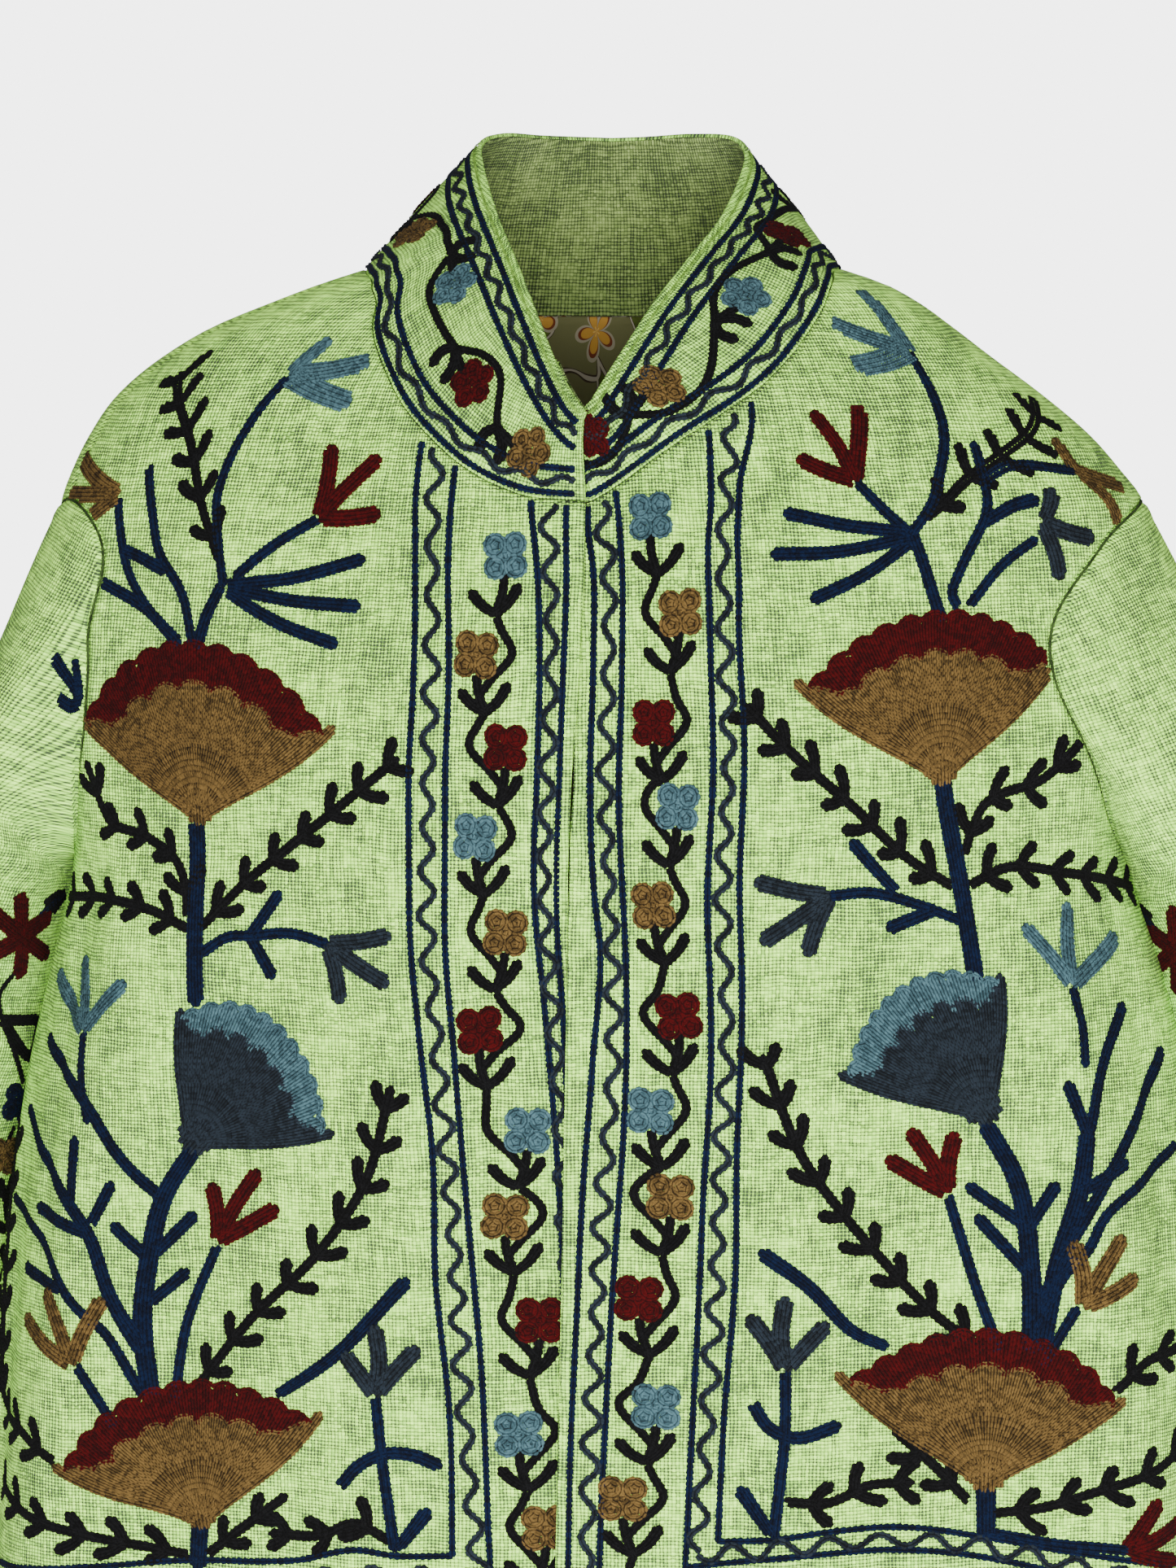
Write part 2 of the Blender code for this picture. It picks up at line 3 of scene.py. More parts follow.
import bpy
import numpy as np
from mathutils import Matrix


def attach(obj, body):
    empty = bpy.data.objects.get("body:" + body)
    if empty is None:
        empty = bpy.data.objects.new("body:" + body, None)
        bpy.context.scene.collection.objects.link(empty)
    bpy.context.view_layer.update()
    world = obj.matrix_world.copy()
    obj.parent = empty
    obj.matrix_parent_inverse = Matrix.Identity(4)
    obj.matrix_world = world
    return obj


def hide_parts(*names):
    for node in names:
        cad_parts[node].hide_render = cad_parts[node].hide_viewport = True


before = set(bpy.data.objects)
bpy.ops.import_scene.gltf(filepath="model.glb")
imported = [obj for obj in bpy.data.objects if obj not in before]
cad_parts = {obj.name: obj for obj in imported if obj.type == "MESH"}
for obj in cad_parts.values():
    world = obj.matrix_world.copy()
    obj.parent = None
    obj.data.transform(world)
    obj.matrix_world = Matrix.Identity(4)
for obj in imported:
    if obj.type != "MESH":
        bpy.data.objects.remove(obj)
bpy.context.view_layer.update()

# The back
# One panel of hand-loomed slub cotton, cut with a shallow neck and wide dropped shoulders and
# left straight at the sides. All the other pieces are sewn to it, so its form comes first.
CLOTH_THICKNESS = 0.0017
SHOULDER_TIP = -0.110
UNDERARM = -0.285
HEM = -0.708
CENTRE_NECK = -0.110
NECK_FADE = 0.26
ROUNDNESS = 2.2
SEAM_DEPTH = 0.0020
SEAM_WIDTH = 0.0024
BACK_COLUMNS = 97
SHOULDER_ROWS = 27
ARMHOLE_ROWS = 43
SKIRT_ROWS = 64
CROWDING_AT_SEAMS = 0.75
TURN_STEP = 0.05
HEIGHT_STEP = 0.0001

# height, half width on the wearer's right, half width on the left, depth in front, depth behind
BODY = (
    (-0.740, 0.325, 0.327, 0.108, 0.106),
    (-0.708, 0.322, 0.324, 0.109, 0.106),
    (-0.600, 0.311, 0.314, 0.114, 0.106),
    (-0.500, 0.301, 0.305, 0.119, 0.107),
    (-0.450, 0.295, 0.299, 0.121, 0.108),
    (-0.385, 0.284, 0.287, 0.124, 0.110),
    (-0.340, 0.273, 0.275, 0.125, 0.112),
    (-0.285, 0.261, 0.257, 0.125, 0.114),
    (-0.230, 0.264, 0.258, 0.123, 0.115),
    (-0.170, 0.267, 0.258, 0.116, 0.113),
    (-0.130, 0.268, 0.263, 0.107, 0.108),
    (-0.110, 0.266, 0.262, 0.101, 0.104),
    (-0.097, 0.261, 0.252, 0.097, 0.101),
    (-0.081, 0.253, 0.238, 0.092, 0.096),
    (-0.059, 0.237, 0.212, 0.084, 0.089),
    (-0.042, 0.216, 0.189, 0.077, 0.081),
    (-0.026, 0.188, 0.168, 0.069, 0.074),
    (-0.016, 0.163, 0.154, 0.064, 0.069),
    (-0.006, 0.136, 0.135, 0.059, 0.063),
    (0.000, 0.117, 0.117, 0.056, 0.060),
    (0.010, 0.090, 0.090, 0.050, 0.054),
)

# The neck seam: turn from the centre front in degrees, height on the right, height on the left
NECK = (
    (0.0, CENTRE_NECK, CENTRE_NECK),
    (5.0, -0.1070, -0.0935),
    (10.0, -0.0970, -0.0790),
    (16.0, -0.0770, -0.0660),
    (24.0, -0.0470, -0.0500),
    (34.0, -0.0220, -0.0310),
    (48.0, -0.0080, -0.0118),
    (65.0, -0.0020, -0.0025),
    (85.0, 0.0000, 0.0000),
    (105.0, -0.0010, -0.0010),
    (125.0, -0.0060, -0.0060),
    (145.0, -0.0140, -0.0140),
    (165.0, -0.0200, -0.0200),
    (180.0, -0.0210, -0.0210),
)

# The armholes, as turns round the body in degrees
RIGHT_SHOULDER_TURN = 76.0
LEFT_SHOULDER_TURN = 92.0
SIDE_TURN = 90.0
ARMHOLE_FRONT_RIGHT = 30.0
ARMHOLE_FRONT_LEFT = 44.0
ARMHOLE_EASE_RIGHT = 0.30
ARMHOLE_EASE_LEFT = 0.55
ARMHOLE_BACK = 26.0

# The broad folds: turn, width in degrees, top, bottom, depth, lean in degrees for each metre
BODY_FOLDS = (
    (-14.0, 5.0, -0.16, -1.10, 0.005, 6.0),
    (-33.0, 8.0, -0.20, -1.05, -0.007, 12.0),
    (-52.0, 8.0, -0.26, -1.10, 0.008, 16.0),
    (-74.0, 7.0, -0.30, -1.15, -0.008, 10.0),
    (13.0, 5.0, -0.14, -1.10, 0.004, -6.0),
    (31.0, 8.0, -0.22, -1.10, -0.007, -10.0),
    (50.0, 7.0, -0.26, -1.05, 0.008, -18.0),
    (73.0, 8.0, -0.32, -1.15, -0.007, -8.0),
    (-62.0, 6.0, -0.09, -0.33, 0.005, 40.0),
    (60.0, 6.0, -0.09, -0.31, 0.005, -36.0),
    (112.0, 9.0, -0.25, -1.10, -0.006, 10.0),
    (134.0, 9.0, -0.16, -1.15, -0.009, 0.0),
    (158.0, 8.0, -0.20, -1.05, 0.008, 6.0),
    (180.0, 9.0, -0.10, -1.10, -0.008, 0.0),
    (-156.0, 8.0, -0.24, -1.10, 0.007, -8.0),
    (-131.0, 9.0, -0.18, -1.05, -0.009, -4.0),
    (-110.0, 8.0, -0.27, -1.15, -0.006, -10.0),
)

# The smaller creases, each a soft trough or ridge
# turn at the top, turn at the bottom, top, bottom, half width in degrees, depth
BODY_CREASES = (
    (-40.0, -30.0, -0.03, -0.26, 3.2, 0.0014),
    (-58.0, -40.0, -0.10, -0.30, 2.6, -0.0018),
    (-66.0, -52.0, -0.19, -0.40, 2.8, 0.0018),
    (-70.0, -61.0, -0.24, -0.52, 2.6, -0.0022),
    (-45.0, -47.0, -0.33, -0.66, 3.0, 0.0016),
    (-24.0, -27.0, -0.36, -0.70, 2.4, -0.0014),
    (36.0, 29.0, -0.04, -0.25, 3.0, 0.0014),
    (55.0, 37.0, -0.09, -0.29, 2.6, -0.0018),
    (63.0, 50.0, -0.20, -0.42, 2.8, 0.0019),
    (72.0, 62.0, -0.25, -0.55, 2.6, -0.0021),
    (41.0, 45.0, -0.35, -0.69, 3.0, 0.0016),
    (22.0, 26.0, -0.38, -0.71, 2.4, -0.0014),
    (120.0, 140.0, -0.07, -0.30, 3.4, -0.0020),
    (-122.0, -143.0, -0.06, -0.28, 3.4, -0.0020),
    (100.0, 118.0, -0.24, -0.50, 3.0, 0.0024),
    (-101.0, -120.0, -0.25, -0.53, 3.0, 0.0023),
    (150.0, 156.0, -0.20, -0.62, 3.0, 0.0020),
    (-147.0, -152.0, -0.26, -0.66, 2.8, -0.0019),
    (172.0, 168.0, -0.30, -0.72, 2.6, -0.0018),
    (-166.0, -171.0, -0.10, -0.42, 2.8, 0.0017),
)


def smooth(low, high, value):
    part = np.clip((value - low) / (high - low), 0.0, 1.0)
    return part * part * (3.0 - 2.0 * part)


def column(table, number):
    return np.array([row[number] for row in table], float)


def through(places, values, at):
    slopes = np.gradient(values, places)
    at = np.clip(np.asarray(at, float), places[0], places[-1])
    row = np.clip(np.searchsorted(places, at, side="right") - 1, 0, len(places) - 2)
    span = places[row + 1] - places[row]
    part = (at - places[row]) / span
    start = (1 + 2 * part) * (1 - part) ** 2 * values[row]
    finish = part**2 * (3 - 2 * part) * values[row + 1]
    bend = part * (1 - part) * ((1 - part) * slopes[row] - part * slopes[row + 1])
    return start + finish + span * bend


def from_table(table, number, at):
    return through(column(table, 0), column(table, number), at)


def line_run(line):
    return np.concatenate([[0.0], np.cumsum(np.linalg.norm(np.diff(line, axis=0), axis=1))])


def of_length_one(ways):
    return ways / np.linalg.norm(ways, axis=-1, keepdims=True)


def wrapped(turn):
    return (turn + 180.0) % 360.0 - 180.0


def body_width(turn, height):
    right, left = from_table(BODY, 1, height), from_table(BODY, 2, height)
    about_front = np.where(np.abs(turn) > 90, np.sign(turn) * (180 - np.abs(turn)), turn)
    return right + (left - right) * smooth(-8.0, 8.0, about_front)


def body_fold(turn, height):
    lift = np.zeros_like(turn)
    for centre, width, top, bottom, depth, lean in BODY_FOLDS:
        down = np.clip((top - height) / (top - bottom), 0.0, 1.0)
        away = wrapped(turn - centre - lean * (height - top)) / width
        lift = lift + depth * np.sin(math.pi * down) * np.exp(-(away**2))
    for top_turn, low_turn, top, bottom, width, depth in BODY_CREASES:
        down = np.clip((top - height) / (top - bottom), 0.0, 1.0)
        uneven = 1.0 + 0.25 * np.sin(9.0 * down + top_turn)
        away = wrapped(turn - top_turn - (low_turn - top_turn) * down) / (width * uneven)
        lift = lift + depth * uneven * np.sin(math.pi * down) ** 0.8 * np.exp(-(away**2))
    return lift


def body_point(turn, height):
    turn = wrapped(np.asarray(turn, float))
    height = np.broadcast_to(np.asarray(height, float), turn.shape)
    angle = np.radians(turn)
    across = np.sign(np.sin(angle)) * np.abs(np.sin(angle)) ** (2 / ROUNDNESS)
    along = np.sign(np.cos(angle)) * np.abs(np.cos(angle)) ** (2 / ROUNDNESS)
    depth = np.where(np.abs(turn) < 90, from_table(BODY, 3, height), from_table(BODY, 4, height))
    width = body_width(turn, height)
    out = np.stack([across * depth, -along * width], axis=-1)
    out = out / (np.linalg.norm(out, axis=-1, keepdims=True) + 1e-9)
    fold = body_fold(turn, height)
    x = across * width + fold * out[..., 0]
    y = -along * depth + fold * out[..., 1]
    return np.stack([x, y, height], axis=-1)


def body_normal(turn, height):
    ahead = body_point(turn + TURN_STEP, height) - body_point(turn - TURN_STEP, height)
    down = body_point(turn, height - HEIGHT_STEP) - body_point(turn, height + HEIGHT_STEP)
    return of_length_one(np.cross(down, ahead))


def neck_height(turn):
    turn = wrapped(np.asarray(turn, float))
    return np.where(turn < 0, from_table(NECK, 1, np.abs(turn)), from_table(NECK, 2, np.abs(turn)))


def cut_height(turn, level):
    return level + neck_height(turn) * np.clip(1 + level / NECK_FADE, 0.0, 1.0)


def armhole_turns(side, level):
    shoulder = RIGHT_SHOULDER_TURN if side < 0 else LEFT_SHOULDER_TURN
    down = np.clip((SHOULDER_TIP - level) / (SHOULDER_TIP - UNDERARM), 0.0, 1.0)
    round_part = np.sqrt(np.clip(1 - (2 * down - 1) ** 2, 0.0, 1.0))
    middle = shoulder + (SIDE_TURN - shoulder) * smooth(0.0, 0.4, down)
    cut = ARMHOLE_FRONT_RIGHT if side < 0 else ARMHOLE_FRONT_LEFT
    ease = ARMHOLE_EASE_RIGHT if side < 0 else ARMHOLE_EASE_LEFT
    return middle - cut * (1 - ease * down) * round_part, middle + ARMHOLE_BACK * round_part


def row_levels():
    shoulder = np.linspace(0.0, SHOULDER_TIP, SHOULDER_ROWS)[:-1]
    arc = (1 - np.cos(np.linspace(0, math.pi, ARMHOLE_ROWS))) / 2
    armhole = SHOULDER_TIP + (UNDERARM - SHOULDER_TIP) * arc
    skirt = np.linspace(UNDERARM, HEM, SKIRT_ROWS)[1:]
    return np.concatenate([shoulder, armhole, skirt])


# Rows and columns lie closer together beside the seams, where the cloth turns in
def spaced(count):
    even = np.linspace(0.0, 1.0, count)
    return even - CROWDING_AT_SEAMS * np.sin(2 * math.pi * even) / (2 * math.pi)


def seam_dip(distance):
    return SEAM_DEPTH * np.exp(-((distance / SEAM_WIDTH) ** 2))


def back_turns(level, parts):
    start, finish = 360.0 - armhole_turns(-1, level)[1], armhole_turns(1, level)[1]
    return start + (finish - start) * parts


def stacked(rows):
    return [np.array(part) for part in zip(*rows)]


# Each cloth is laid out as points, normals, and places across and down the cut panel
def back_cloth():
    rows = []
    for level in row_levels():
        turns = back_turns(level, spaced(BACK_COLUMNS))
        height = cut_height(turns, level)
        point, normal = body_point(turns, height), body_normal(turns, height)
        run = line_run(point)
        edge = np.minimum(run, run[-1] - run)
        edge[[0, -1]] = 0.0
        rows.append((point - seam_dip(edge)[:, None] * normal, normal, run - run[-1] / 2, -height))
    return stacked(rows)


def four_corners(part):
    return np.stack([part[:-1, :-1], part[:-1, 1:], part[1:, 1:], part[1:, :-1]], axis=2)


def cloth_shell(name, outer, normals, thickness, across, down, face, lining, closed=False):
    rows, columns = outer.shape[:2]
    count = rows * columns
    number = np.arange(count).reshape(rows, columns)
    if closed:
        number = np.concatenate([number, number[:, :1]], axis=1)
    maps = np.stack([across, down], axis=-1)
    quads, map_quads = four_corners(number).reshape(-1, 4), four_corners(maps).reshape(-1, 4, 2)
    faces, face_maps = [quads, quads[:, ::-1] + count], [map_quads, map_quads[:, ::-1]]
    slots = [np.zeros(len(quads), int), np.ones(len(quads), int)]
    rims = [(number[0, :-1], number[0, 1:], maps[0]), (number[-1, 1:], number[-1, :-1], maps[-1, ::-1])]
    if not closed:
        rims.append((number[1:, 0], number[:-1, 0], maps[::-1, 0]))
        rims.append((number[:-1, -1], number[1:, -1], maps[:, -1]))
    for one, two, place in rims:
        faces.append(np.stack([two, one, one + count, two + count], axis=-1))
        face_maps.append(np.stack([place[1:], place[:-1], place[:-1], place[1:]], axis=1))
        slots.append(np.zeros(len(one), int))
    points = np.concatenate([outer.reshape(-1, 3), (outer - thickness * normals).reshape(-1, 3)])
    sides = [np.concatenate(part) for part in (faces, face_maps, slots)]
    piece = cloth_mesh(name, points, *sides)
    for finish in (face, lining):
        piece.data.materials.append(finish)
    return piece


def cloth_mesh(name, points, faces, maps, slots):
    data = bpy.data.meshes.new(name)
    corners = faces.shape[1]
    data.vertices.add(len(points))
    data.vertices.foreach_set("co", points.astype(np.float32).ravel())
    data.loops.add(faces.size)
    data.loops.foreach_set("vertex_index", faces.astype(np.int32).ravel())
    data.polygons.add(len(faces))
    data.polygons.foreach_set("loop_start", np.arange(0, faces.size, corners, dtype=np.int32))
    data.polygons.foreach_set("loop_total", np.full(len(faces), corners, dtype=np.int32))
    data.polygons.foreach_set("material_index", slots.astype(np.int32))
    data.polygons.foreach_set("use_smooth", np.ones(len(faces), dtype=bool))
    layer = data.uv_layers.new(name="cloth")
    layer.data.foreach_set("uv", maps.astype(np.float32).ravel())
    data.update(calc_edges=True)
    data.validate()
    piece = bpy.data.objects.new(name, data)
    bpy.context.scene.collection.objects.link(piece)
    return piece


def linear(colour):
    parts = [channel / 255.0 for channel in colour]
    return tuple(part / 12.92 if part < 0.04 else ((part + 0.055) / 1.055) ** 2.4 for part in parts)


def operation(kind, reflected=False):
    def apply(value, other=None):
        return value.maths(kind, *((other, value) if reflected else (value, other)))

    return apply


# A socket that can be added, multiplied and compared like a number
class Value:
    def __init__(self, tree, socket):
        self.tree, self.socket = tree, socket

    def maths(self, kind, *entries):
        node = self.tree.nodes.new("ShaderNodeMath")
        node.operation = kind
        for place, entry in enumerate(entries):
            if isinstance(entry, Value):
                self.tree.links.new(entry.socket, node.inputs[place])
            elif entry is not None:
                node.inputs[place].default_value = entry
        return Value(self.tree, node.outputs[0])

    __add__, __radd__ = operation("ADD"), operation("ADD", True)
    __sub__, __rsub__ = operation("SUBTRACT"), operation("SUBTRACT", True)
    __mul__, __rmul__ = operation("MULTIPLY"), operation("MULTIPLY", True)
    __truediv__, __pow__ = operation("DIVIDE"), operation("POWER")
    __gt__, __lt__ = operation("GREATER_THAN"), operation("LESS_THAN")
    floor, absolute, cosine = operation("FLOOR"), operation("ABSOLUTE"), operation("COSINE")
    larger, smaller = operation("MAXIMUM"), operation("MINIMUM")
    remainder, direction = operation("FLOORED_MODULO"), operation("ARCTAN2")


# A material's nodes: each is made from its type, its settings and what its sockets hold
class Finish:
    def __init__(self, name, roughness, sheen=0.0):
        self.material = bpy.data.materials.new(name)
        self.material.use_nodes = True
        self.tree = self.material.node_tree
        self.shader = self.tree.nodes["Principled BSDF"]
        self.shader.inputs["Roughness"].default_value = roughness
        self.shader.inputs["Specular IOR Level"].default_value = 0.12
        self.shader.inputs["Sheen Weight"].default_value = sheen
        self.shader.inputs["Sheen Roughness"].default_value = 0.5

    def node(self, kind, settings=None, sockets=None, output=0):
        node = self.tree.nodes.new(kind)
        for name, entry in (settings or {}).items():
            if name == "stops":
                ramp = node.color_ramp
                while len(ramp.elements) < len(entry):
                    ramp.elements.new(0.5)
                for element, (place, colour) in zip(ramp.elements, entry):
                    element.position, element.color = place, (*colour, 1.0)
            else:
                setattr(node, name, entry)
        for name, entry in (sockets or {}).items():
            if isinstance(entry, Value):
                self.tree.links.new(entry.socket, node.inputs[name])
            else:
                node.inputs[name].default_value = entry
        return Value(self.tree, node.outputs[output])

    def split(self, place):
        return [self.node("ShaderNodeSeparateXYZ", None, {0: place}, axis) for axis in (0, 1)]

    def map_places(self):
        return self.split(self.node("ShaderNodeUVMap", {"uv_map": "cloth"}))

    def at(self, x, y, z=0.0):
        return self.node("ShaderNodeCombineXYZ", None, {0: x, 1: y, 2: z})

    def noise(self, place, scale, detail=2.0):
        sockets = {"Vector": place, "Scale": scale, "Detail": detail}
        return self.node("ShaderNodeTexNoise", None, sockets, "Fac")

    def chance(self, place):
        return self.node("ShaderNodeTexWhiteNoise", {"noise_dimensions": "2D"}, {"Vector": place}, "Value")

    def ramp(self, value, *stops):
        settings = {"stops": [(place, linear(colour)) for place, colour in stops]}
        return self.node("ShaderNodeValToRGB", settings, {"Fac": value}, "Color")

    def eased(self, value, low, high):
        settings = {"interpolation_type": "SMOOTHSTEP"}
        return self.node("ShaderNodeMapRange", settings, {0: value, 1: low, 2: high})

    def mix(self, part, first, colour):
        sockets = {0: part, 6: first, 7: (*linear(colour), 1.0)}
        return self.node("ShaderNodeMix", {"data_type": "RGBA"}, sockets, 2)

    def colour(self, value):
        self.tree.links.new(value.socket, self.shader.inputs["Base Color"])

    def bump(self, height, distance, strength=1.0):
        sockets = {"Height": height, "Distance": distance, "Strength": strength}
        made = self.node("ShaderNodeBump", None, sockets)
        self.tree.links.new(made.socket, self.shader.inputs["Normal"])


WARP_PITCH = 0.00180
WEFT_PITCH = 0.00172


def slub_cotton(name, gap, shade, light):
    cloth = Finish(name, 0.95, 0.03)
    across, down = cloth.map_places()
    drift = cloth.noise(cloth.at(across * 14.0, down * 30.0), 1.0) - 0.5
    sway = cloth.noise(cloth.at(across * 40.0, down * 14.0, 7.0), 1.0) - 0.5
    warp = across / WARP_PITCH + drift * 1.4
    weft = down / WEFT_PITCH + sway * 1.8
    warp_yarn, weft_yarn = warp.floor(), weft.floor()
    beside_warp, beside_weft = warp - warp_yarn - 0.5, weft - weft_yarn - 0.5
    slub_warp = cloth.noise(cloth.at(warp_yarn * 3.7, down * 70.0), 1.0, 1.0)
    slub_weft = cloth.noise(cloth.at(across * 70.0, weft_yarn * 3.7, 4.0), 1.0, 1.0)
    patch = cloth.noise(cloth.at(across * 26.0, down * 26.0, 2.0), 1.0, 3.0)
    edge_warp = beside_warp.absolute() * 2.0 / (slub_warp * 2.0 + patch * 0.9 - 0.50).larger(0.3)
    edge_weft = beside_weft.absolute() * 2.0 / (slub_weft * 2.2 + patch * 0.9 - 0.72).larger(0.3)
    over = (warp_yarn + weft_yarn).remainder(2.0) * 2.0 - 1.0
    round_warp = 1.0 - (edge_warp * 0.8) ** 2.0
    round_weft = 1.0 - (edge_weft * 0.8) ** 2.0
    high_warp = round_warp.larger(0.0) * (0.58 + 0.42 * over * (beside_weft * math.pi).cosine())
    high_weft = round_weft.larger(0.0) * (0.58 - 0.42 * over * (beside_warp * math.pi).cosine())
    height = high_warp.larger(high_weft)
    warp_tone = cloth.chance(cloth.at(warp_yarn, 3.0)) * 0.45 + slub_warp
    weft_tone = cloth.chance(cloth.at(weft_yarn, 8.0)) * 0.45 + slub_weft
    tone = weft_tone + (warp_tone - weft_tone) * (high_warp > high_weft)
    # Each crossing's pad gets a random tone plus a painted highlight that grows with the yarn's height
    pad = cloth.chance(cloth.at(warp_yarn, weft_yarn, 5.0)) + height * 1.5
    tone = (tone * 0.6 + patch * 0.6 + pad * 0.6 - 1.28).larger(0.0).smaller(1.0)
    yarn = cloth.ramp(tone, (0.0, shade), (1.0, light))
    # Pores between the yarns turn towards the gap colour, partly the open weave and partly painted shade; the
    # grooves along each yarn's edges are painted shade
    pore = cloth.eased(edge_warp.smaller(edge_weft), 0.50, 0.95)
    groove_shade = cloth.eased(edge_warp.larger(edge_weft), 0.60, 1.15)
    cloth.colour(cloth.mix((pore + groove_shade * 0.5).smaller(1.0), yarn, gap))
    cloth.bump(height + slub_warp * 0.3 + slub_weft * 0.3, 0.0012)
    return cloth.material


lime_cotton = slub_cotton("lime_slub_cotton", (54, 70, 46), (130, 190, 66), (190, 254, 98))


# The lining's print is a plain all-over one of small five-petal flowers and leaves
def floral_print(name):
    print_cloth = Finish(name, 0.75)
    across, down = print_cloth.map_places()
    across, down = across - 0.012, down - 0.013
    place = print_cloth.at(across, down)
    mottled = print_cloth.noise(place, 46.0, 3.0)
    drawn = print_cloth.ramp(mottled, (0.3, (44, 52, 14)), (0.52, (66, 78, 22)), (0.7, (54, 60, 18)))
    bent = print_cloth.noise(place, 24.0, 1.0) * 0.05
    leaves = {"Vector": print_cloth.at(across + bent, down * 0.7 - bent), "Scale": 34.0}
    rib = print_cloth.node("ShaderNodeTexVoronoi", {"feature": "DISTANCE_TO_EDGE"}, leaves, "Distance")
    leaf = print_cloth.chance(print_cloth.node("ShaderNodeTexVoronoi", None, leaves, "Position"))
    flowers = {"Vector": place, "Scale": 24.0, "Randomness": 0.7}
    away = print_cloth.node("ShaderNodeTexVoronoi", None, flowers, "Distance")
    centre = print_cloth.node("ShaderNodeTexVoronoi", None, flowers, "Position")
    centre_x, centre_y = print_cloth.split(centre)
    angle = (down - centre_y).direction(across - centre_x)
    petal = (angle * 2.5 + centre_x * 400.0).cosine().absolute()
    reach = away / (petal * 0.26 + 0.08)
    for part, colour in (
        (leaf > 0.6, (84, 84, 52)),
        (rib < 0.034, (46, 34, 24)),
        (rib < 0.020, (132, 126, 108)),
        (away < petal * 0.22 + 0.17, (124, 118, 96)),
        (reach < 1.0, (86, 40, 20)),
        (reach < 0.86, (150, 112, 44)),
        (reach < 0.35, (172, 138, 72)),
    ):
        drawn = print_cloth.mix(part, drawn, colour)
    print_cloth.colour(drawn)
    print_cloth.bump(print_cloth.noise(place, 1400.0, 1.0), 0.0002, 0.4)
    return print_cloth.material


lining_print = floral_print("printed_lining")

points, normals, across, down = back_cloth()
back = cloth_shell("back_panel", points, normals, CLOTH_THICKNESS, across, down, lime_cotton, lining_print)
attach(back, "root")
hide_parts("back")

# The fronts
# Two panels of the same cotton that meet at the centre. The right one lies over the left one at
# the neck and under it from the chest down, and each front edge is turned back and stitched.
FRONTS = ((-1, "right_front"), (1, "left_front"))
FRONT_COLUMNS = 93
PRESSED_DEPTH, PRESSED_WIDTH = 0.0004, 0.0012
TURNING_HEIGHT, TURNING_PLACE, TURNING_WIDTH = 0.0006, 0.0030, 0.0016
TUCK_END = (0.022, 0.062)

# height, edge of the right front, edge of the left front, right tucked in, left tucked in
CENTRE_FRONT = (
    (-0.740, 0.0220, -0.0160, 0.0045, 0.0000),
    (-0.640, 0.0190, -0.0134, 0.0045, 0.0000),
    (-0.470, 0.0110, -0.0090, 0.0045, 0.0000),
    (-0.370, 0.0030, -0.0068, 0.0045, 0.0000),
    (-0.320, -0.0040, -0.0058, 0.0045, 0.0000),
    (-0.295, -0.0058, -0.0052, 0.0030, 0.0000),
    (-0.265, -0.0050, -0.0044, 0.0000, 0.0000),
    (-0.235, -0.0038, -0.0032, 0.0000, 0.0030),
    (-0.210, -0.0020, -0.0046, 0.0000, 0.0045),
    (-0.150, 0.0004, -0.0120, 0.0000, 0.0045),
    (-0.110, 0.0005, -0.0150, 0.0000, 0.0045),
    (-0.040, 0.0005, -0.0150, 0.0000, 0.0045),
)


def centre_edge(side, height):
    return from_table(CENTRE_FRONT, 1 if side < 0 else 2, height)


def tuck(side, x, height):
    deep = from_table(CENTRE_FRONT, 3 if side < 0 else 4, height)
    return np.clip(deep, 0.0, None) * (1 - smooth(*TUCK_END, np.abs(x - centre_edge(side, height))))


def turn_of_x(x, height):
    width = body_width(np.sign(x) * 1.0, height)
    return np.sign(x) * np.degrees(np.arcsin(np.clip(np.abs(x) / width, 0.0, 1.0) ** (ROUNDNESS / 2)))


def front_surface(side, turn, height):
    point, normal = body_point(turn, height), body_normal(turn, height)
    return point - tuck(side, point[..., 0], height)[..., None] * normal, normal


# The turn round the body where a front's centre edge crosses a level
def edge_turn(side, level):
    height = float(cut_height(side * 1.0, level))
    return float(turn_of_x(float(centre_edge(side, height)), height))


def front_cloth(side):
    rows = []
    for level in row_levels():
        start = edge_turn(side, level)
        finish = side * float(armhole_turns(side, level)[0])
        turns = start + (finish - start) * spaced(FRONT_COLUMNS)
        heights = cut_height(turns, level)
        point, normal = front_surface(side, turns, heights)
        run = line_run(point)
        sunk = PRESSED_DEPTH * np.exp(-((run / PRESSED_WIDTH) ** 2)) + seam_dip(run[-1] - run)
        sunk -= TURNING_HEIGHT * np.exp(-(((run - TURNING_PLACE) / TURNING_WIDTH) ** 2))
        across = side * (run + start * side * 0.005)
        rows.append((point - sunk[:, None] * normal, normal, across, -heights))
    return stacked(rows)


for side, name in FRONTS:
    points, normals, across, down = front_cloth(side)
    front = cloth_shell(
        f"{name}_panel", points, normals, CLOTH_THICKNESS, across, down, lime_cotton, lining_print
    )
    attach(front, "root")
    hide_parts(name)

# The sleeves
# Each is one piece of the same cotton, sewn into its armhole below the dropped shoulder. It
# hangs beside the body, narrows to the cuff and creases across at the elbow.
SLEEVE_LENGTH = 0.484
SLEEVE_MIDDLE = 0.004
OUTER_LEAN_TOP, OUTER_LEAN_CUFF = 29.0, 13.0
INNER_LEAN_TOP, INNER_LEAN_CUFF = 14.0, 5.0
INNER_STEP_OUT_RIGHT, INNER_STEP_OUT_LEFT = -0.002, -0.008
INNER_STEP_BACK, INNER_STEP_RUN = 0.030, 0.030
SEAM_ROUNDING = 0.140
FOLDS_START = (0.06, 0.14)
SEAM_HELD = 0.006
SEAM_RIDGE, SEAM_RIDGE_PLACE, SEAM_RIDGE_WIDTH = 0.0007, 0.0065, 0.003
LEFT_FOLDS_LOWER = 0.017
SLEEVE_ROWS = 99
SLEEVE_POINTS = 108
LINE_STEPS = 24

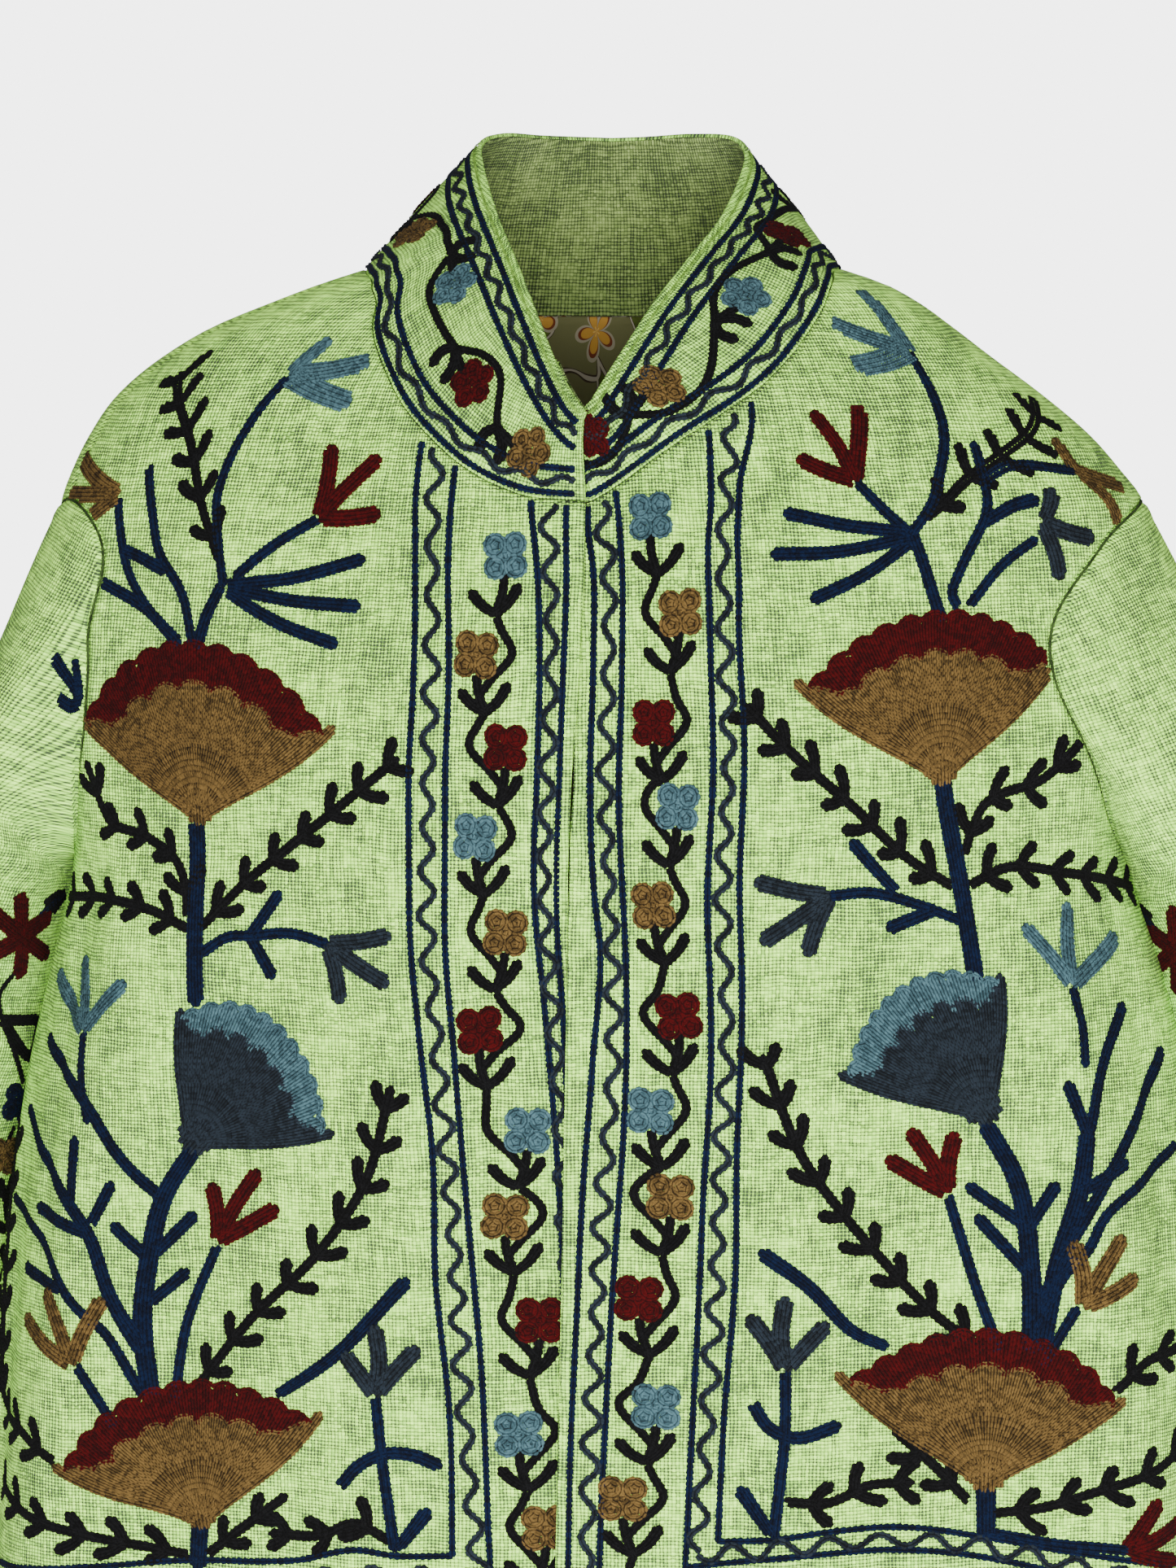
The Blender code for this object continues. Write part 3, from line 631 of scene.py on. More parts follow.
# distance down the outer line, distance down the inner line, half depth front to back
SLEEVE = (
    (0.000, 0.000, 0.056),
    (0.034, 0.004, 0.058),
    (0.070, 0.009, 0.061),
    (0.106, 0.015, 0.064),
    (0.140, 0.022, 0.066),
    (0.170, 0.034, 0.066),
    (0.202, 0.060, 0.063),
    (0.234, 0.087, 0.059),
    (0.265, 0.114, 0.055),
    (0.296, 0.141, 0.051),
    (0.327, 0.168, 0.048),
    (0.358, 0.195, 0.045),
    (0.389, 0.222, 0.042),
    (0.420, 0.249, 0.040),
    (0.452, 0.276, 0.038),
    (0.484, 0.303, 0.037),
)

# place down the outer line, turn from the outer side, length in degrees, width, depth
SLEEVE_FOLDS = (
    (0.150, 60.0, 42.0, 0.022, -0.006),
    (0.205, 100.0, 36.0, 0.020, 0.005),
    (0.262, 70.0, 45.0, 0.020, -0.006),
    (0.318, 100.0, 36.0, 0.022, 0.005),
    (0.372, 60.0, 46.0, 0.020, -0.004),
    (0.150, 290.0, 42.0, 0.024, -0.006),
    (0.215, 258.0, 36.0, 0.021, 0.005),
    (0.275, 300.0, 44.0, 0.022, -0.006),
    (0.335, 258.0, 36.0, 0.020, 0.005),
    (0.395, 290.0, 40.0, 0.022, -0.004),
    (0.095, 95.0, 30.0, 0.010, -0.002),
    (0.125, 45.0, 34.0, 0.009, 0.0018),
    (0.182, 75.0, 40.0, 0.009, -0.0022),
    (0.236, 52.0, 34.0, 0.008, 0.0020),
    (0.290, 88.0, 30.0, 0.009, -0.0022),
    (0.345, 62.0, 34.0, 0.009, 0.0018),
    (0.110, 268.0, 30.0, 0.010, -0.0022),
    (0.190, 285.0, 34.0, 0.009, 0.0020),
    (0.247, 268.0, 30.0, 0.009, -0.0022),
    (0.305, 288.0, 34.0, 0.008, 0.0018),
    (0.362, 272.0, 30.0, 0.009, -0.0020),
)


def armhole_loop(side):
    half = SLEEVE_POINTS // 2
    arc = (1 - np.cos(np.linspace(0, math.pi, half + 1))) / 2
    levels = SHOULDER_TIP + (UNDERARM - SHOULDER_TIP) * arc
    front, behind = armhole_turns(side, levels)
    turns = side * np.concatenate([front, behind[::-1][1:-1]])
    levels = np.concatenate([levels, levels[::-1][1:-1]])
    heights = cut_height(turns, levels)
    return body_point(turns, heights), body_normal(turns, heights)


def hanging_line(start, side, lean_top, lean_end, distance):
    place = np.array(start, float)
    for number in range(LINE_STEPS):
        part = (number + 0.5) / LINE_STEPS * distance / SLEEVE_LENGTH
        lean = math.radians(lean_top + (lean_end - lean_top) * part)
        place = place + distance / LINE_STEPS * np.array([side * math.sin(lean), 0.0, -math.cos(lean)])
    return place


def ring_normals(grid):
    around = np.roll(grid, -1, axis=1) - np.roll(grid, 1, axis=1)
    normals = of_length_one(np.cross(around, np.gradient(grid, axis=0)))
    return np.sign(np.sum(normals * (grid - grid.mean(axis=1, keepdims=True)))) * normals


def sleeve_cloth(side):
    loop, loop_normals = armhole_loop(side)
    half = SLEEVE_POINTS // 2
    tip, foot = loop[0], loop[half]
    middle, first_side = (tip + foot) / 2, (tip - foot) / 2
    along_side = (loop - middle) @ first_side / np.dot(first_side, first_side)
    from_line = loop - middle - along_side[:, None] * first_side
    turns = 2 * math.pi * np.arange(SLEEVE_POINTS) / SLEEVE_POINTS
    row = np.arange(len(SLEEVE), dtype=float)
    finely = np.concatenate([[0.0, 0.06, 0.14, 0.24], np.linspace(0.36, row[-1], SLEEVE_ROWS - 4)])
    runs = [through(row, column(SLEEVE, number), finely) for number in range(3)]
    outer_runs = runs[0]
    step = INNER_STEP_OUT_RIGHT if side < 0 else INNER_STEP_OUT_LEFT
    rings = []
    for outer_run, inner_run, half_depth in zip(*runs):
        outer = hanging_line(tip, side, OUTER_LEAN_TOP, OUTER_LEAN_CUFF, outer_run)
        inner = hanging_line(foot, side, INNER_LEAN_TOP, INNER_LEAN_CUFF, inner_run)
        stepped = smooth(0.0, INNER_STEP_RUN, inner_run)
        inner[0] += side * (step * stepped)
        inner[1] += INNER_STEP_BACK * stepped
        rounded = smooth(0.0, SEAM_ROUNDING, outer_run)
        centre = (outer + inner) / 2
        centre[1] += (SLEEVE_MIDDLE - middle[1]) * rounded
        part = along_side * (1 - rounded) + np.cos(turns) * rounded
        ring = centre + part[:, None] * (outer - inner) / 2 + (1 - rounded) * from_line
        ring[:, 1] -= half_depth * np.sin(turns) * rounded
        rings.append(ring)
    grid = np.array(rings)
    degrees = 360.0 * np.arange(SLEEVE_POINTS)[None, :] / SLEEVE_POINTS
    places = outer_runs[:, None]
    lift = np.zeros(grid.shape[:2])
    for place, turn, length, width, depth in SLEEVE_FOLDS:
        shifted = place + (0.0 if side < 0 else LEFT_FOLDS_LOWER)
        away = wrapped(degrees - turn) / length
        lift = lift + depth * np.exp(-(away**2) - ((places - shifted) / width) ** 2)
    lift = lift * smooth(*FOLDS_START, places)
    normals = ring_normals(grid)
    steps = np.linalg.norm(np.diff(grid, axis=0), axis=2)
    run = np.concatenate([np.zeros((1, SLEEVE_POINTS)), np.cumsum(steps, axis=0)])
    lift = lift + SEAM_RIDGE * np.exp(-(((run - SEAM_RIDGE_PLACE) / SEAM_RIDGE_WIDTH) ** 2))
    held = 1 - smooth(0.0, SEAM_HELD, run)[..., None]
    sunk = loop_normals * held + normals * (1 - held)
    grid = grid + lift[..., None] * normals - seam_dip(run)[..., None] * sunk
    normals = ring_normals(grid)
    agree = smooth(0.3, 0.8, np.sum(normals[0] * loop_normals, axis=1))[:, None]
    normals[0] = of_length_one(normals[0] * (1 - agree) + loop_normals * agree)
    return grid, normals, outer_runs


# The weave runs straight along the sleeve, so its places are measured round it and along it
def sleeve_weave(grid):
    closed = np.concatenate([grid, grid[:, :1]], axis=1)
    along = of_length_one(np.mean(grid[-1] - grid[0], axis=0))
    steps = np.diff(closed, axis=1)
    steps -= (steps @ along)[..., None] * along
    around = np.cumsum(np.linalg.norm(steps, axis=2), axis=1)
    return np.concatenate([np.zeros((len(grid), 1)), around], axis=1), closed @ along


# The inner faces of the sleeves and the collar use the same cotton painted darker, as painted shade inside
# them
painted_shade_inside = slub_cotton("cotton_inside_painted_shade", (42, 54, 30), (84, 104, 50), (124, 144, 80))
sleeve_cloths = {}
for side, name in ((-1, "right_sleeve"), (1, "left_sleeve")):
    grid, normals, outer_runs = sleeve_cloths[name] = sleeve_cloth(side)
    warp, weft = sleeve_weave(grid)
    sleeve = cloth_shell(
        f"{name}_cloth", grid, normals, CLOTH_THICKNESS, warp, weft, lime_cotton, painted_shade_inside, True
    )
    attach(sleeve, "root")
    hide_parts(name)

# The collar
# A stand collar of the cotton used double over interlining. It is sewn round the neck, stands up
# and out in a funnel, and its right end lies over its left end at the centre front.
COLLAR_THICKNESS = 0.0026
COLLAR_BULGE = 0.005
COLLAR_ROWS = 33
COLLAR_SIDE_COLUMNS, COLLAR_BACK_COLUMNS = 65, 97
SEAM_GAP = 0.0004
ROLLED_DEPTH = 0.0006

# x on the right, x on the left, y, height on the right, height on the left
COLLAR_EDGE = (
    (0.000, 0.000, -0.1010, -0.0670, -0.0670),
    (0.008, 0.008, -0.0950, -0.0570, -0.0530),
    (0.017, 0.018, -0.0840, -0.0390, -0.0360),
    (0.027, 0.030, -0.0680, -0.0170, -0.0160),
    (0.037, 0.045, -0.0480, 0.0040, 0.0050),
    (0.048, 0.058, -0.0280, 0.0260, 0.0230),
    (0.057, 0.066, -0.0080, 0.0490, 0.0410),
    (0.060, 0.069, 0.0120, 0.0630, 0.0570),
    (0.052, 0.062, 0.0340, 0.0680, 0.0660),
    (0.034, 0.040, 0.0510, 0.0675, 0.0680),
    (0.016, 0.018, 0.0590, 0.0670, 0.0670),
    (0.000, 0.000, 0.0610, 0.0665, 0.0665),
)


def free_edge(side):
    places = np.arange(len(COLLAR_EDGE), dtype=float)
    finely = np.linspace(0.0, places[-1], 241)
    x = side * through(places, column(COLLAR_EDGE, 0 if side < 0 else 1), finely)
    y = through(places, column(COLLAR_EDGE, 2), finely)
    z = through(places, column(COLLAR_EDGE, 3 if side < 0 else 4), finely)
    return np.stack([x, y, z], axis=1)


def collar_edge_line(side, start_x):
    past = free_edge(-side)
    past = past[(np.abs(past[:, 0]) < abs(start_x)) & (past[:, 1] < 0)][::-1]
    return np.concatenate([past[:-1], free_edge(side)])


def at_runs(line, wanted):
    run = line_run(line)
    return np.stack([np.interp(wanted, run, line[:, axis]) for axis in range(line.shape[1])], axis=1)


def edge_place(line, parts):
    return at_runs(line, parts * line_run(line)[-1])


def collar_foot():
    right = np.linspace(edge_turn(-1, 0.0), -RIGHT_SHOULDER_TURN, COLLAR_SIDE_COLUMNS)
    behind = np.linspace(360.0 - RIGHT_SHOULDER_TURN, LEFT_SHOULDER_TURN, COLLAR_BACK_COLUMNS)[1:-1]
    left = np.linspace(LEFT_SHOULDER_TURN, edge_turn(1, 0.0), COLLAR_SIDE_COLUMNS)
    height = neck_height(behind)
    spans = (
        front_surface(-1, right, neck_height(right)),
        (body_point(behind, height), body_normal(behind, height)),
        front_surface(1, left, neck_height(left)),
    )
    return [np.concatenate(part) for part in zip(*spans)]


def band_normals(grid):
    normals = of_length_one(np.cross(np.gradient(grid, axis=0), np.gradient(grid, axis=1)))
    return np.sign(np.sum(normals * np.array([1.0, 1.0, 0.0]) * grid)) * normals


def collar_cloth():
    foot, seam_normals = collar_foot()
    run = line_run(foot)
    behind = np.where(foot[:, 1] > 0)[0]
    middle = np.interp(0.0, foot[behind, 0], run[behind])
    on_right = run <= middle
    right = edge_place(collar_edge_line(-1, foot[0, 0]), run[on_right] / middle)
    left = edge_place(collar_edge_line(1, foot[-1, 0]), (run[-1] - run[~on_right]) / (run[-1] - middle))
    deep = np.where(left[:, 1] < 0, tuck(1, left[:, 0], np.full(len(left), CENTRE_NECK)), 0.0)
    edge = np.concatenate([right, left + deep[:, None] * np.array([0.0, 1.0, 0.0])])
    foot = foot + SEAM_GAP * of_length_one(edge - foot)
    parts = spaced(COLLAR_ROWS)[:, None]
    grid = foot * (1 - parts[..., None]) + edge * parts[..., None]
    depth = np.linalg.norm(edge - foot, axis=1)[None, :]
    up, below_edge = depth * parts, depth * (1 - parts)
    lift = COLLAR_BULGE * np.sin(math.pi * parts)
    lift = lift + ROLLED_DEPTH * np.exp(-(((below_edge - 0.0014) / 0.0012) ** 2))
    lift = lift - ROLLED_DEPTH * np.exp(-((below_edge / 0.0006) ** 2))
    lift = lift - ROLLED_DEPTH * np.exp(-(((below_edge - 0.0030) / 0.0007) ** 2)) - seam_dip(up) * 0.7
    grid = grid + lift[..., None] * band_normals(grid)
    blend = smooth(0.0, 0.08, parts)[..., None]
    normals = of_length_one(seam_normals * (1 - blend) + band_normals(grid) * blend)
    across = np.repeat((run - middle)[None, :], len(grid), axis=0)
    return grid, normals, across, -np.linalg.norm(grid - grid[:1], axis=2)


collar_cotton = slub_cotton("doubled_slub_cotton", (54, 70, 46), (124, 180, 62), (182, 244, 98))
collar_layout = collar_cloth()
grid, normals, across, down = collar_layout
collar = cloth_shell(
    "collar_band", grid, normals, COLLAR_THICKNESS, across, down, collar_cotton, painted_shade_inside
)
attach(collar, "root")
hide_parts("collar")

# The back lining
# Printed cotton lawn that lines the upper back, whipped in just under the neck seam. It is the
# only lining that shows, through the open neck.
LINING_THICKNESS = 0.0006
LINING_INSET = 0.0030
LINING_ROWS = 60
LINING_PARTS = np.linspace(0.155, 0.845, 71)
CHEST_HALF_WIDTH, CHEST_HALF_DEPTH = 0.287, 0.124
CHEST_GIRTH = 1.3612

# Cut size across the cloth for a turn, measured round the chest from the centre front
CHEST_TURNS = np.linspace(0.0, 90.0, 901)
CHEST_X = CHEST_HALF_WIDTH * np.sin(np.radians(CHEST_TURNS)) ** (2 / ROUNDNESS)
CHEST_Y = CHEST_HALF_DEPTH * np.cos(np.radians(CHEST_TURNS)) ** (2 / ROUNDNESS)
CHEST_RUN = line_run(np.stack([CHEST_X, CHEST_Y], axis=1))


def across_cloth(turn):
    near = np.interp(90.0 - np.abs(90.0 - np.abs(turn)), CHEST_TURNS, CHEST_RUN)
    return np.sign(turn) * np.where(np.abs(turn) > 90.0, 2 * CHEST_RUN[-1] - near, near)


def lining_cloth():
    rows = []
    for level in row_levels()[:LINING_ROWS]:
        turns = back_turns(level, LINING_PARTS)
        height = cut_height(turns, level)
        normal = body_normal(turns, height)
        point = body_point(turns, height) - LINING_INSET * normal
        rows.append((point, normal, across_cloth(wrapped(turns)) % CHEST_GIRTH, -height))
    return stacked(rows)


points, normals, across, down = lining_cloth()
lining = cloth_shell(
    "back_lining_cloth", points, normals, LINING_THICKNESS, across, down, lining_print, lining_print
)
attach(lining, "root")
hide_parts("back_lining")

# The embroidery
# Two-ply wool worked in chain stitch by hand, row beside row where a shape is filled. Each panel
# is worked on its own in six colours, over the cloth, and stands about a millimetre proud of it.
STITCH = 2.8
ROW_PITCH = 1.8
LINE_WIDTH, WAVE_WIDTH = 3.7, 3.8
PLACE_RANGE, WIDTH_RANGE = (-0.2, 0.2), (0.92, 1.08)
LENGTH_RANGE, HEIGHT_RANGE = (1.0, 1.12), (0.85, 1.15)
LEAST_STRETCH, MOST_STRETCH = 0.85, 1.15
YARN_HEIGHT = 0.00085
RAISED = 0.0003
LINK_CELL = 0.01
LINK_MAP_WIDTH, LINK_MAP_LENGTH = 0.0026, 0.003

# The deep, middle and light shade of each wool
WOOL = {
    "navy": ((0, 1, 5), (1, 4, 16), (3, 14, 36)),
    "black": ((0, 0, 0), (1, 1, 1), (8, 8, 9)),
    "slate": ((3, 4, 6), (8, 12, 15), (23, 30, 37)),
    "pale_blue": ((10, 21, 24), (28, 46, 51), (56, 81, 87)),
    "tan": ((12, 7, 2), (36, 26, 9), (84, 65, 32)),
    "red": ((10, 0, 0), (26, 0, 0), (52, 1, 2)),
}


def wool_yarn(name, deep, dark, light):
    yarn = Finish(name, 1.0, 0.0)
    across, down = yarn.map_places()
    fibres = yarn.noise(yarn.at(across * 2600.0, down * 700.0), 1.0, 3.0)
    stitch = yarn.chance(yarn.at(*((place * (1 / LINK_CELL)).floor() for place in (across, down))))
    side, end = ((place.remainder(LINK_CELL) - LINK_CELL / 2).absolute() * 1000.0 for place in (across, down))
    # Each stitch is painted darker towards its sides and ends and along its middle groove, as painted shade
    # in the hollows of the chain, which leaves the crowns of its loops lighter
    hollow_shade = (side * 0.72) ** 4.0 + (end * 0.50) ** 4.0
    groove_shade = (0.42 - side).larger(0.0) * 1.5
    tone = (fibres * 0.8 + stitch * 0.45 + 0.16 - hollow_shade * 0.5 - groove_shade).larger(0.0).smaller(1.0)
    yarn.colour(yarn.ramp(tone, (0.0, deep), (0.42, dark), (0.95, light)))
    yarn.bump(fibres, 0.0005, 0.8)
    return yarn.material


YARNS = {name: wool_yarn(f"wool_{name}", *shades) for name, shades in WOOL.items()}


def curve(points, step=1.0):
    points = np.array(points, float)
    run = line_run(points)
    finely = np.linspace(0.0, run[-1], max(3, int(run[-1] / step) + 1))
    return np.stack([through(run, points[:, axis], finely) for axis in range(2)], axis=1)


def part_of(line, start, finish):
    return at_runs(line, np.linspace(start, finish, len(line)))


def beside(line, distance):
    ahead = np.gradient(line, axis=0)
    ahead /= np.linalg.norm(ahead, axis=1, keepdims=True) + 1e-9
    return line + np.reshape(distance, (-1, 1)) * np.stack([-ahead[:, 1], ahead[:, 0]], axis=1)


def ahead_of(point, way, distance):
    return (point[0] + distance * math.cos(way), point[1] + distance * math.sin(way))


# Stitches are laid out flat, in millimetres across and down a panel, and then sewn on to it
class Needlework:
    def __init__(self, seed):
        self.stitches = {}
        self.chance = np.random.default_rng(seed)

    def row(self, colour, line, width):
        run = line_run(line)
        count = max(1, int(round(run[-1] / STITCH)))
        at = np.linspace(0.0, run[-1], count + 1)
        at[1:-1] += self.chance.uniform(*PLACE_RANGE, count - 1)
        x, y = at_runs(line, at).T
        wide = width * self.chance.uniform(*WIDTH_RANGE, count)
        self.stitches.setdefault(colour, []).append(np.column_stack([x[:-1], y[:-1], x[1:], y[1:], wide]))

    def wave(self, colour, points, size=3.6, period=21.6):
        line = curve(points)
        run = line_run(line)
        swing = size * np.sin(2 * math.pi * run / period + 0.6 * np.sin(run / 31.0))
        self.row(colour, beside(line, swing * (1 + 0.2 * np.sin(run / 17.0))), WAVE_WIDTH)

    # A narrow shape is filled with rows side by side, each a little shorter than the one inside it
    def limb(self, colour, points, width, end_width=None):
        line = curve(points) if len(points) < 20 else np.array(points)
        run = line_run(line)
        end_width = width if end_width is None else end_width
        local, widest = width + (end_width - width) * run / run[-1], max(width, end_width)
        rows = max(1, int(widest / ROW_PITCH + 0.25))
        for number in range(rows):
            part = 2 * (number + 0.5) / rows - 1
            trim = 0.5 * (1 - math.sqrt(1 - part**2))
            offset = beside(line, part * local / 2)
            total = line_run(offset)[-1]
            first = width * trim + (0.5 * STITCH if number % 2 else 0.0)
            room = total - end_width * trim - first
            stitched = max(1, round(room / STITCH)) * STITCH
            finish = first + stitched * min(MOST_STRETCH, max(LEAST_STRETCH, room / stitched))
            if total > (width + end_width) * trim + 1.0 and finish > first + 0.5:
                self.row(colour, part_of(offset, first, min(finish, total)), widest / rows + 1.1)
        if rows > 1:
            tip = part_of(line, max(0.0, run[-1] - 2.0), run[-1])
            self.row(colour, np.array([tip[0], tip[-1] + 0.5 * (tip[-1] - tip[0])]), end_width * 0.7)

    def fern(self, points, leaf=12.0, gap=20.0, first=12.0, colour="black"):
        line = curve(points)
        self.limb(colour, points, 4.4)
        run = line_run(line)
        for place in np.arange(first, run[-1] + 1.0, gap):
            spot = part_of(line, min(place, run[-1] - 1.0), min(place + 1.0, run[-1]))
            way = math.atan2(*(spot[-1] - spot[0])[::-1])
            for hand in (-1, 1):
                turned = way + hand * self.chance.uniform(0.75, 1.05)
                length = leaf * self.chance.uniform(0.85, 1.2)
                middle = ahead_of(spot[0], turned, length * 0.55)
                tip = ahead_of(middle, turned - hand * 0.3, length * 0.55)
                self.limb(colour, [spot[0], middle, tip], 4.0, 6.0)

    def tulip(self, colour, base, *tips, width=7.6):
        for tip in tips:
            bow = 0.06 * (tip[1] - base[1]) * np.sign(tip[0] - base[0])
            middle = (0.5 * base[0] + 0.5 * tip[0] + bow, 0.5 * base[1] + 0.5 * tip[1] + 1.0)
            self.limb(colour, [base, middle, tip], width)

    # A blossom is a ring of round lobes, each worked as two rings and a short stitch at its centre
    def blossom(self, colour, centre, petals=4, reach=7.2, width=11.8):
        tilt = math.pi / petals + self.chance.uniform(-0.12, 0.12)
        ways = [tilt + 2 * math.pi * number / petals for number in range(petals)]
        lobes = [ahead_of(centre, way, reach) for way in ways]
        rings = [(lobe, part * width) for lobe in lobes for part in (0.40, 0.20)] + [(centre, 1.6)]
        turns = tilt + np.linspace(0.0, 2 * math.pi, 25)
        for (x, y), radius in rings:
            self.row(colour, np.stack([x + radius * np.cos(turns), y + radius * np.sin(turns)], axis=1), 3.3)
        for x, y in lobes:
            self.row(colour, np.array([(x - 1.4, y), (x + 1.4, y)]), 3.0)

    # A fan is worked in rays from its foot, filled to a scalloped line and edged beyond it
    def fan(self, base, left, right, crown, band, fill, edge, scallops=11):
        ways = [math.atan2(tip[1] - base[1], tip[0] - base[0]) for tip in (left, right)]
        if ways[1] < ways[0]:
            ways[1] += 2 * math.pi * round((ways[0] + math.pi - ways[1]) / (2 * math.pi))
        reaches = [math.dist(base, left), math.dist(base, right)]
        middle_way = (ways[0] + ways[1]) / 2

        def ray(part, places):
            fuller = 1.0 + 0.07 * np.sin(math.pi * np.clip(places / max(reaches), 0.0, 1.0))
            way = middle_way + (ways[1] - ways[0]) * part * fuller
            return np.stack([base[0] + places * np.cos(way), base[1] + places * np.sin(way)], axis=1)

        share = np.linspace(0.0, 1.0, 241)
        sides = (reaches[0] + (reaches[1] - reaches[0]) * share) * 0.93
        rounded = np.sin(math.pi * share) ** 0.7
        outer = sides + (crown - sides) * rounded
        narrowed = np.clip(np.minimum(share, 1 - share) / 0.05 - 0.4, 0.0, 1.0)
        inner = outer - band * (0.75 + 0.25 * rounded) * narrowed
        bumps, inner_bumps = (
            np.abs(np.sin(math.pi * count * share)) ** 0.5 for count in (scallops, round(scallops * 0.62))
        )
        outer, inner = outer - 3.6 + 4.6 * bumps, np.minimum(inner - 4.4 + 5.8 * inner_bumps, outer)
        for colour, near, far in ((fill, np.zeros_like(inner), inner), (edge, inner - 1.0, outer)):
            reach = float(np.max(far))
            count = int(abs(ways[1] - ways[0]) * reach / ROW_PITCH)
            for number in range(1, count):
                part = number / count
                start = reach * (0.43 if number % 2 else 0.19 if number % 4 else 0.06)
                low = max(float(np.interp(part, share, near)), start if colour == fill else 0.0)
                ends, shift = (low, float(np.interp(part, share, far)) - 0.6), 0.5 * (number % 2)
                low, high = (STITCH * (round(end / STITCH - shift) + shift) for end in ends)
                self.row(colour, ray(part - 0.5, np.linspace(low, max(high, low + STITCH), 12)), 2.8)
        for colour, outline in ((fill, inner), (edge, outer)):
            line = ray(share - 0.5, outline)
            self.row(colour, part_of(line, 4.0, line_run(line)[-1] - 4.0), 2.9)
        for reach, end in zip(reaches, (-0.5, 0.5)):
            self.limb(fill, ray(end, np.linspace(2.0, reach, 30)), 5.4, 4.2)
        self.limb(fill, [ahead_of(base, middle_way, place) for place in (-3.5, 15.0)], 19.0)

    # A vine winds down from flower to flower, and each flower hangs over a fork with two leaves
    def vine(self, middle, flowers):
        last = None
        for colour, x, y in flowers:
            hand = 1.0 if x > middle(y) else -1.0
            fork = (x - 4.5 * hand, y + 27.0)
            self.blossom(colour, (x, y))
            self.limb("black", [(x, y + 8.0), (x - 1.0 * hand, y + 17.0), fork], 4.0)
            for side, out, up in ((-1, 12.5, 10.0), (1, 11.5, 13.0)):
                bend = (fork[0] + 0.55 * out * side, fork[1] - 0.40 * up)
                self.limb("black", [fork, bend, (fork[0] + out * side, fork[1] - up)], 3.4, 5.2)
            if last:
                passing = (middle(y) - 11.0 * hand, y - 2.0)
                above = (0.6 * last[0] + 0.4 * passing[0], y - 11.0)
                joined = [(x - 7.0 * hand, y + 12.0), (x - 1.5 * hand, y + 19.0)]
                self.limb("black", [last, above, passing, *joined], 3.6)
            last = fork

    # Stitches off the cloth are left out, and wool other than navy and black lies over those two
    def sew(self, panel, surface, keep, slot="wool_yarn"):
        for colour, rows in self.stitches.items():
            laid = np.concatenate(rows)
            middle = (laid[:, :2] + laid[:, 2:4]) / 2
            kept = keep(middle[:, 0], middle[:, 1])
            laid, middle = laid[kept], middle[kept]
            if len(laid) < 4:
                continue
            start, finish = surface(laid[:, 0], laid[:, 1])[0], surface(laid[:, 2], laid[:, 3])[0]
            normal = surface(middle[:, 0], middle[:, 1])[1]
            over = 0.0 if colour in ("navy", "black") else RAISED * normal
            piece = chain_stitches(
                f"{panel}_{colour}", start + over, finish + over, normal, laid[:, 4], self.chance
            )
            piece.data.materials.append(YARNS[colour])
            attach(piece, "root")


# One chain stitch: along, across and up, in shares of its length, width and height
LOOP = np.array(
    [(-0.58, -0.34, 0.1)]
    + [(0.16, side, up) for side, up in zip((-0.54, -0.30, 0.0, 0.30, 0.54), (-0.12, 1.1, 0.55, 1.1, -0.12))]
    + [(-0.58, 0.34, 0.1), (0.60, -0.26, 0.25), (0.60, 0.26, 0.25)]
)
LOOP_FACES = np.array(
    [(0, 2, 1), (0, 3, 2), (0, 6, 3), (6, 4, 3), (6, 5, 4)]
    + [(7, 1, 2), (7, 2, 3), (7, 3, 8), (8, 3, 4), (8, 4, 5)]
)


def chain_stitches(name, start, finish, normal, width, chance):
    along = finish - start
    across = np.cross(normal, along)
    across /= np.linalg.norm(across, axis=1, keepdims=True) + 1e-12
    along = along * chance.uniform(*LENGTH_RANGE, (len(along), 1))
    height = YARN_HEIGHT * chance.uniform(*HEIGHT_RANGE, len(along))
    middle = (start + finish) / 2
    points = middle[:, None, :] + LOOP[None, :, 0:1] * along[:, None, :]
    points = points + LOOP[None, :, 1:2] * across[:, None, :] * (width * 0.001)[:, None, None]
    points = points + LOOP[None, :, 2:3] * normal[:, None, :] * height[:, None, None]
    faces = (LOOP_FACES[None, :, :] + len(LOOP) * np.arange(len(along))[:, None, None]).reshape(-1, 3)
    place = chance.integers(0, 200, (len(along), 2)) * LINK_CELL + LINK_CELL / 2
    maps = place[:, None, :] + np.stack([LOOP[:, 1] * LINK_MAP_WIDTH, LOOP[:, 0] * LINK_MAP_LENGTH], axis=1)
    maps = maps.reshape(-1, 2)[faces.reshape(-1)].reshape(-1, 3, 2)
    return cloth_mesh(name, points.reshape(-1, 3), faces, maps, np.zeros(len(faces), int))


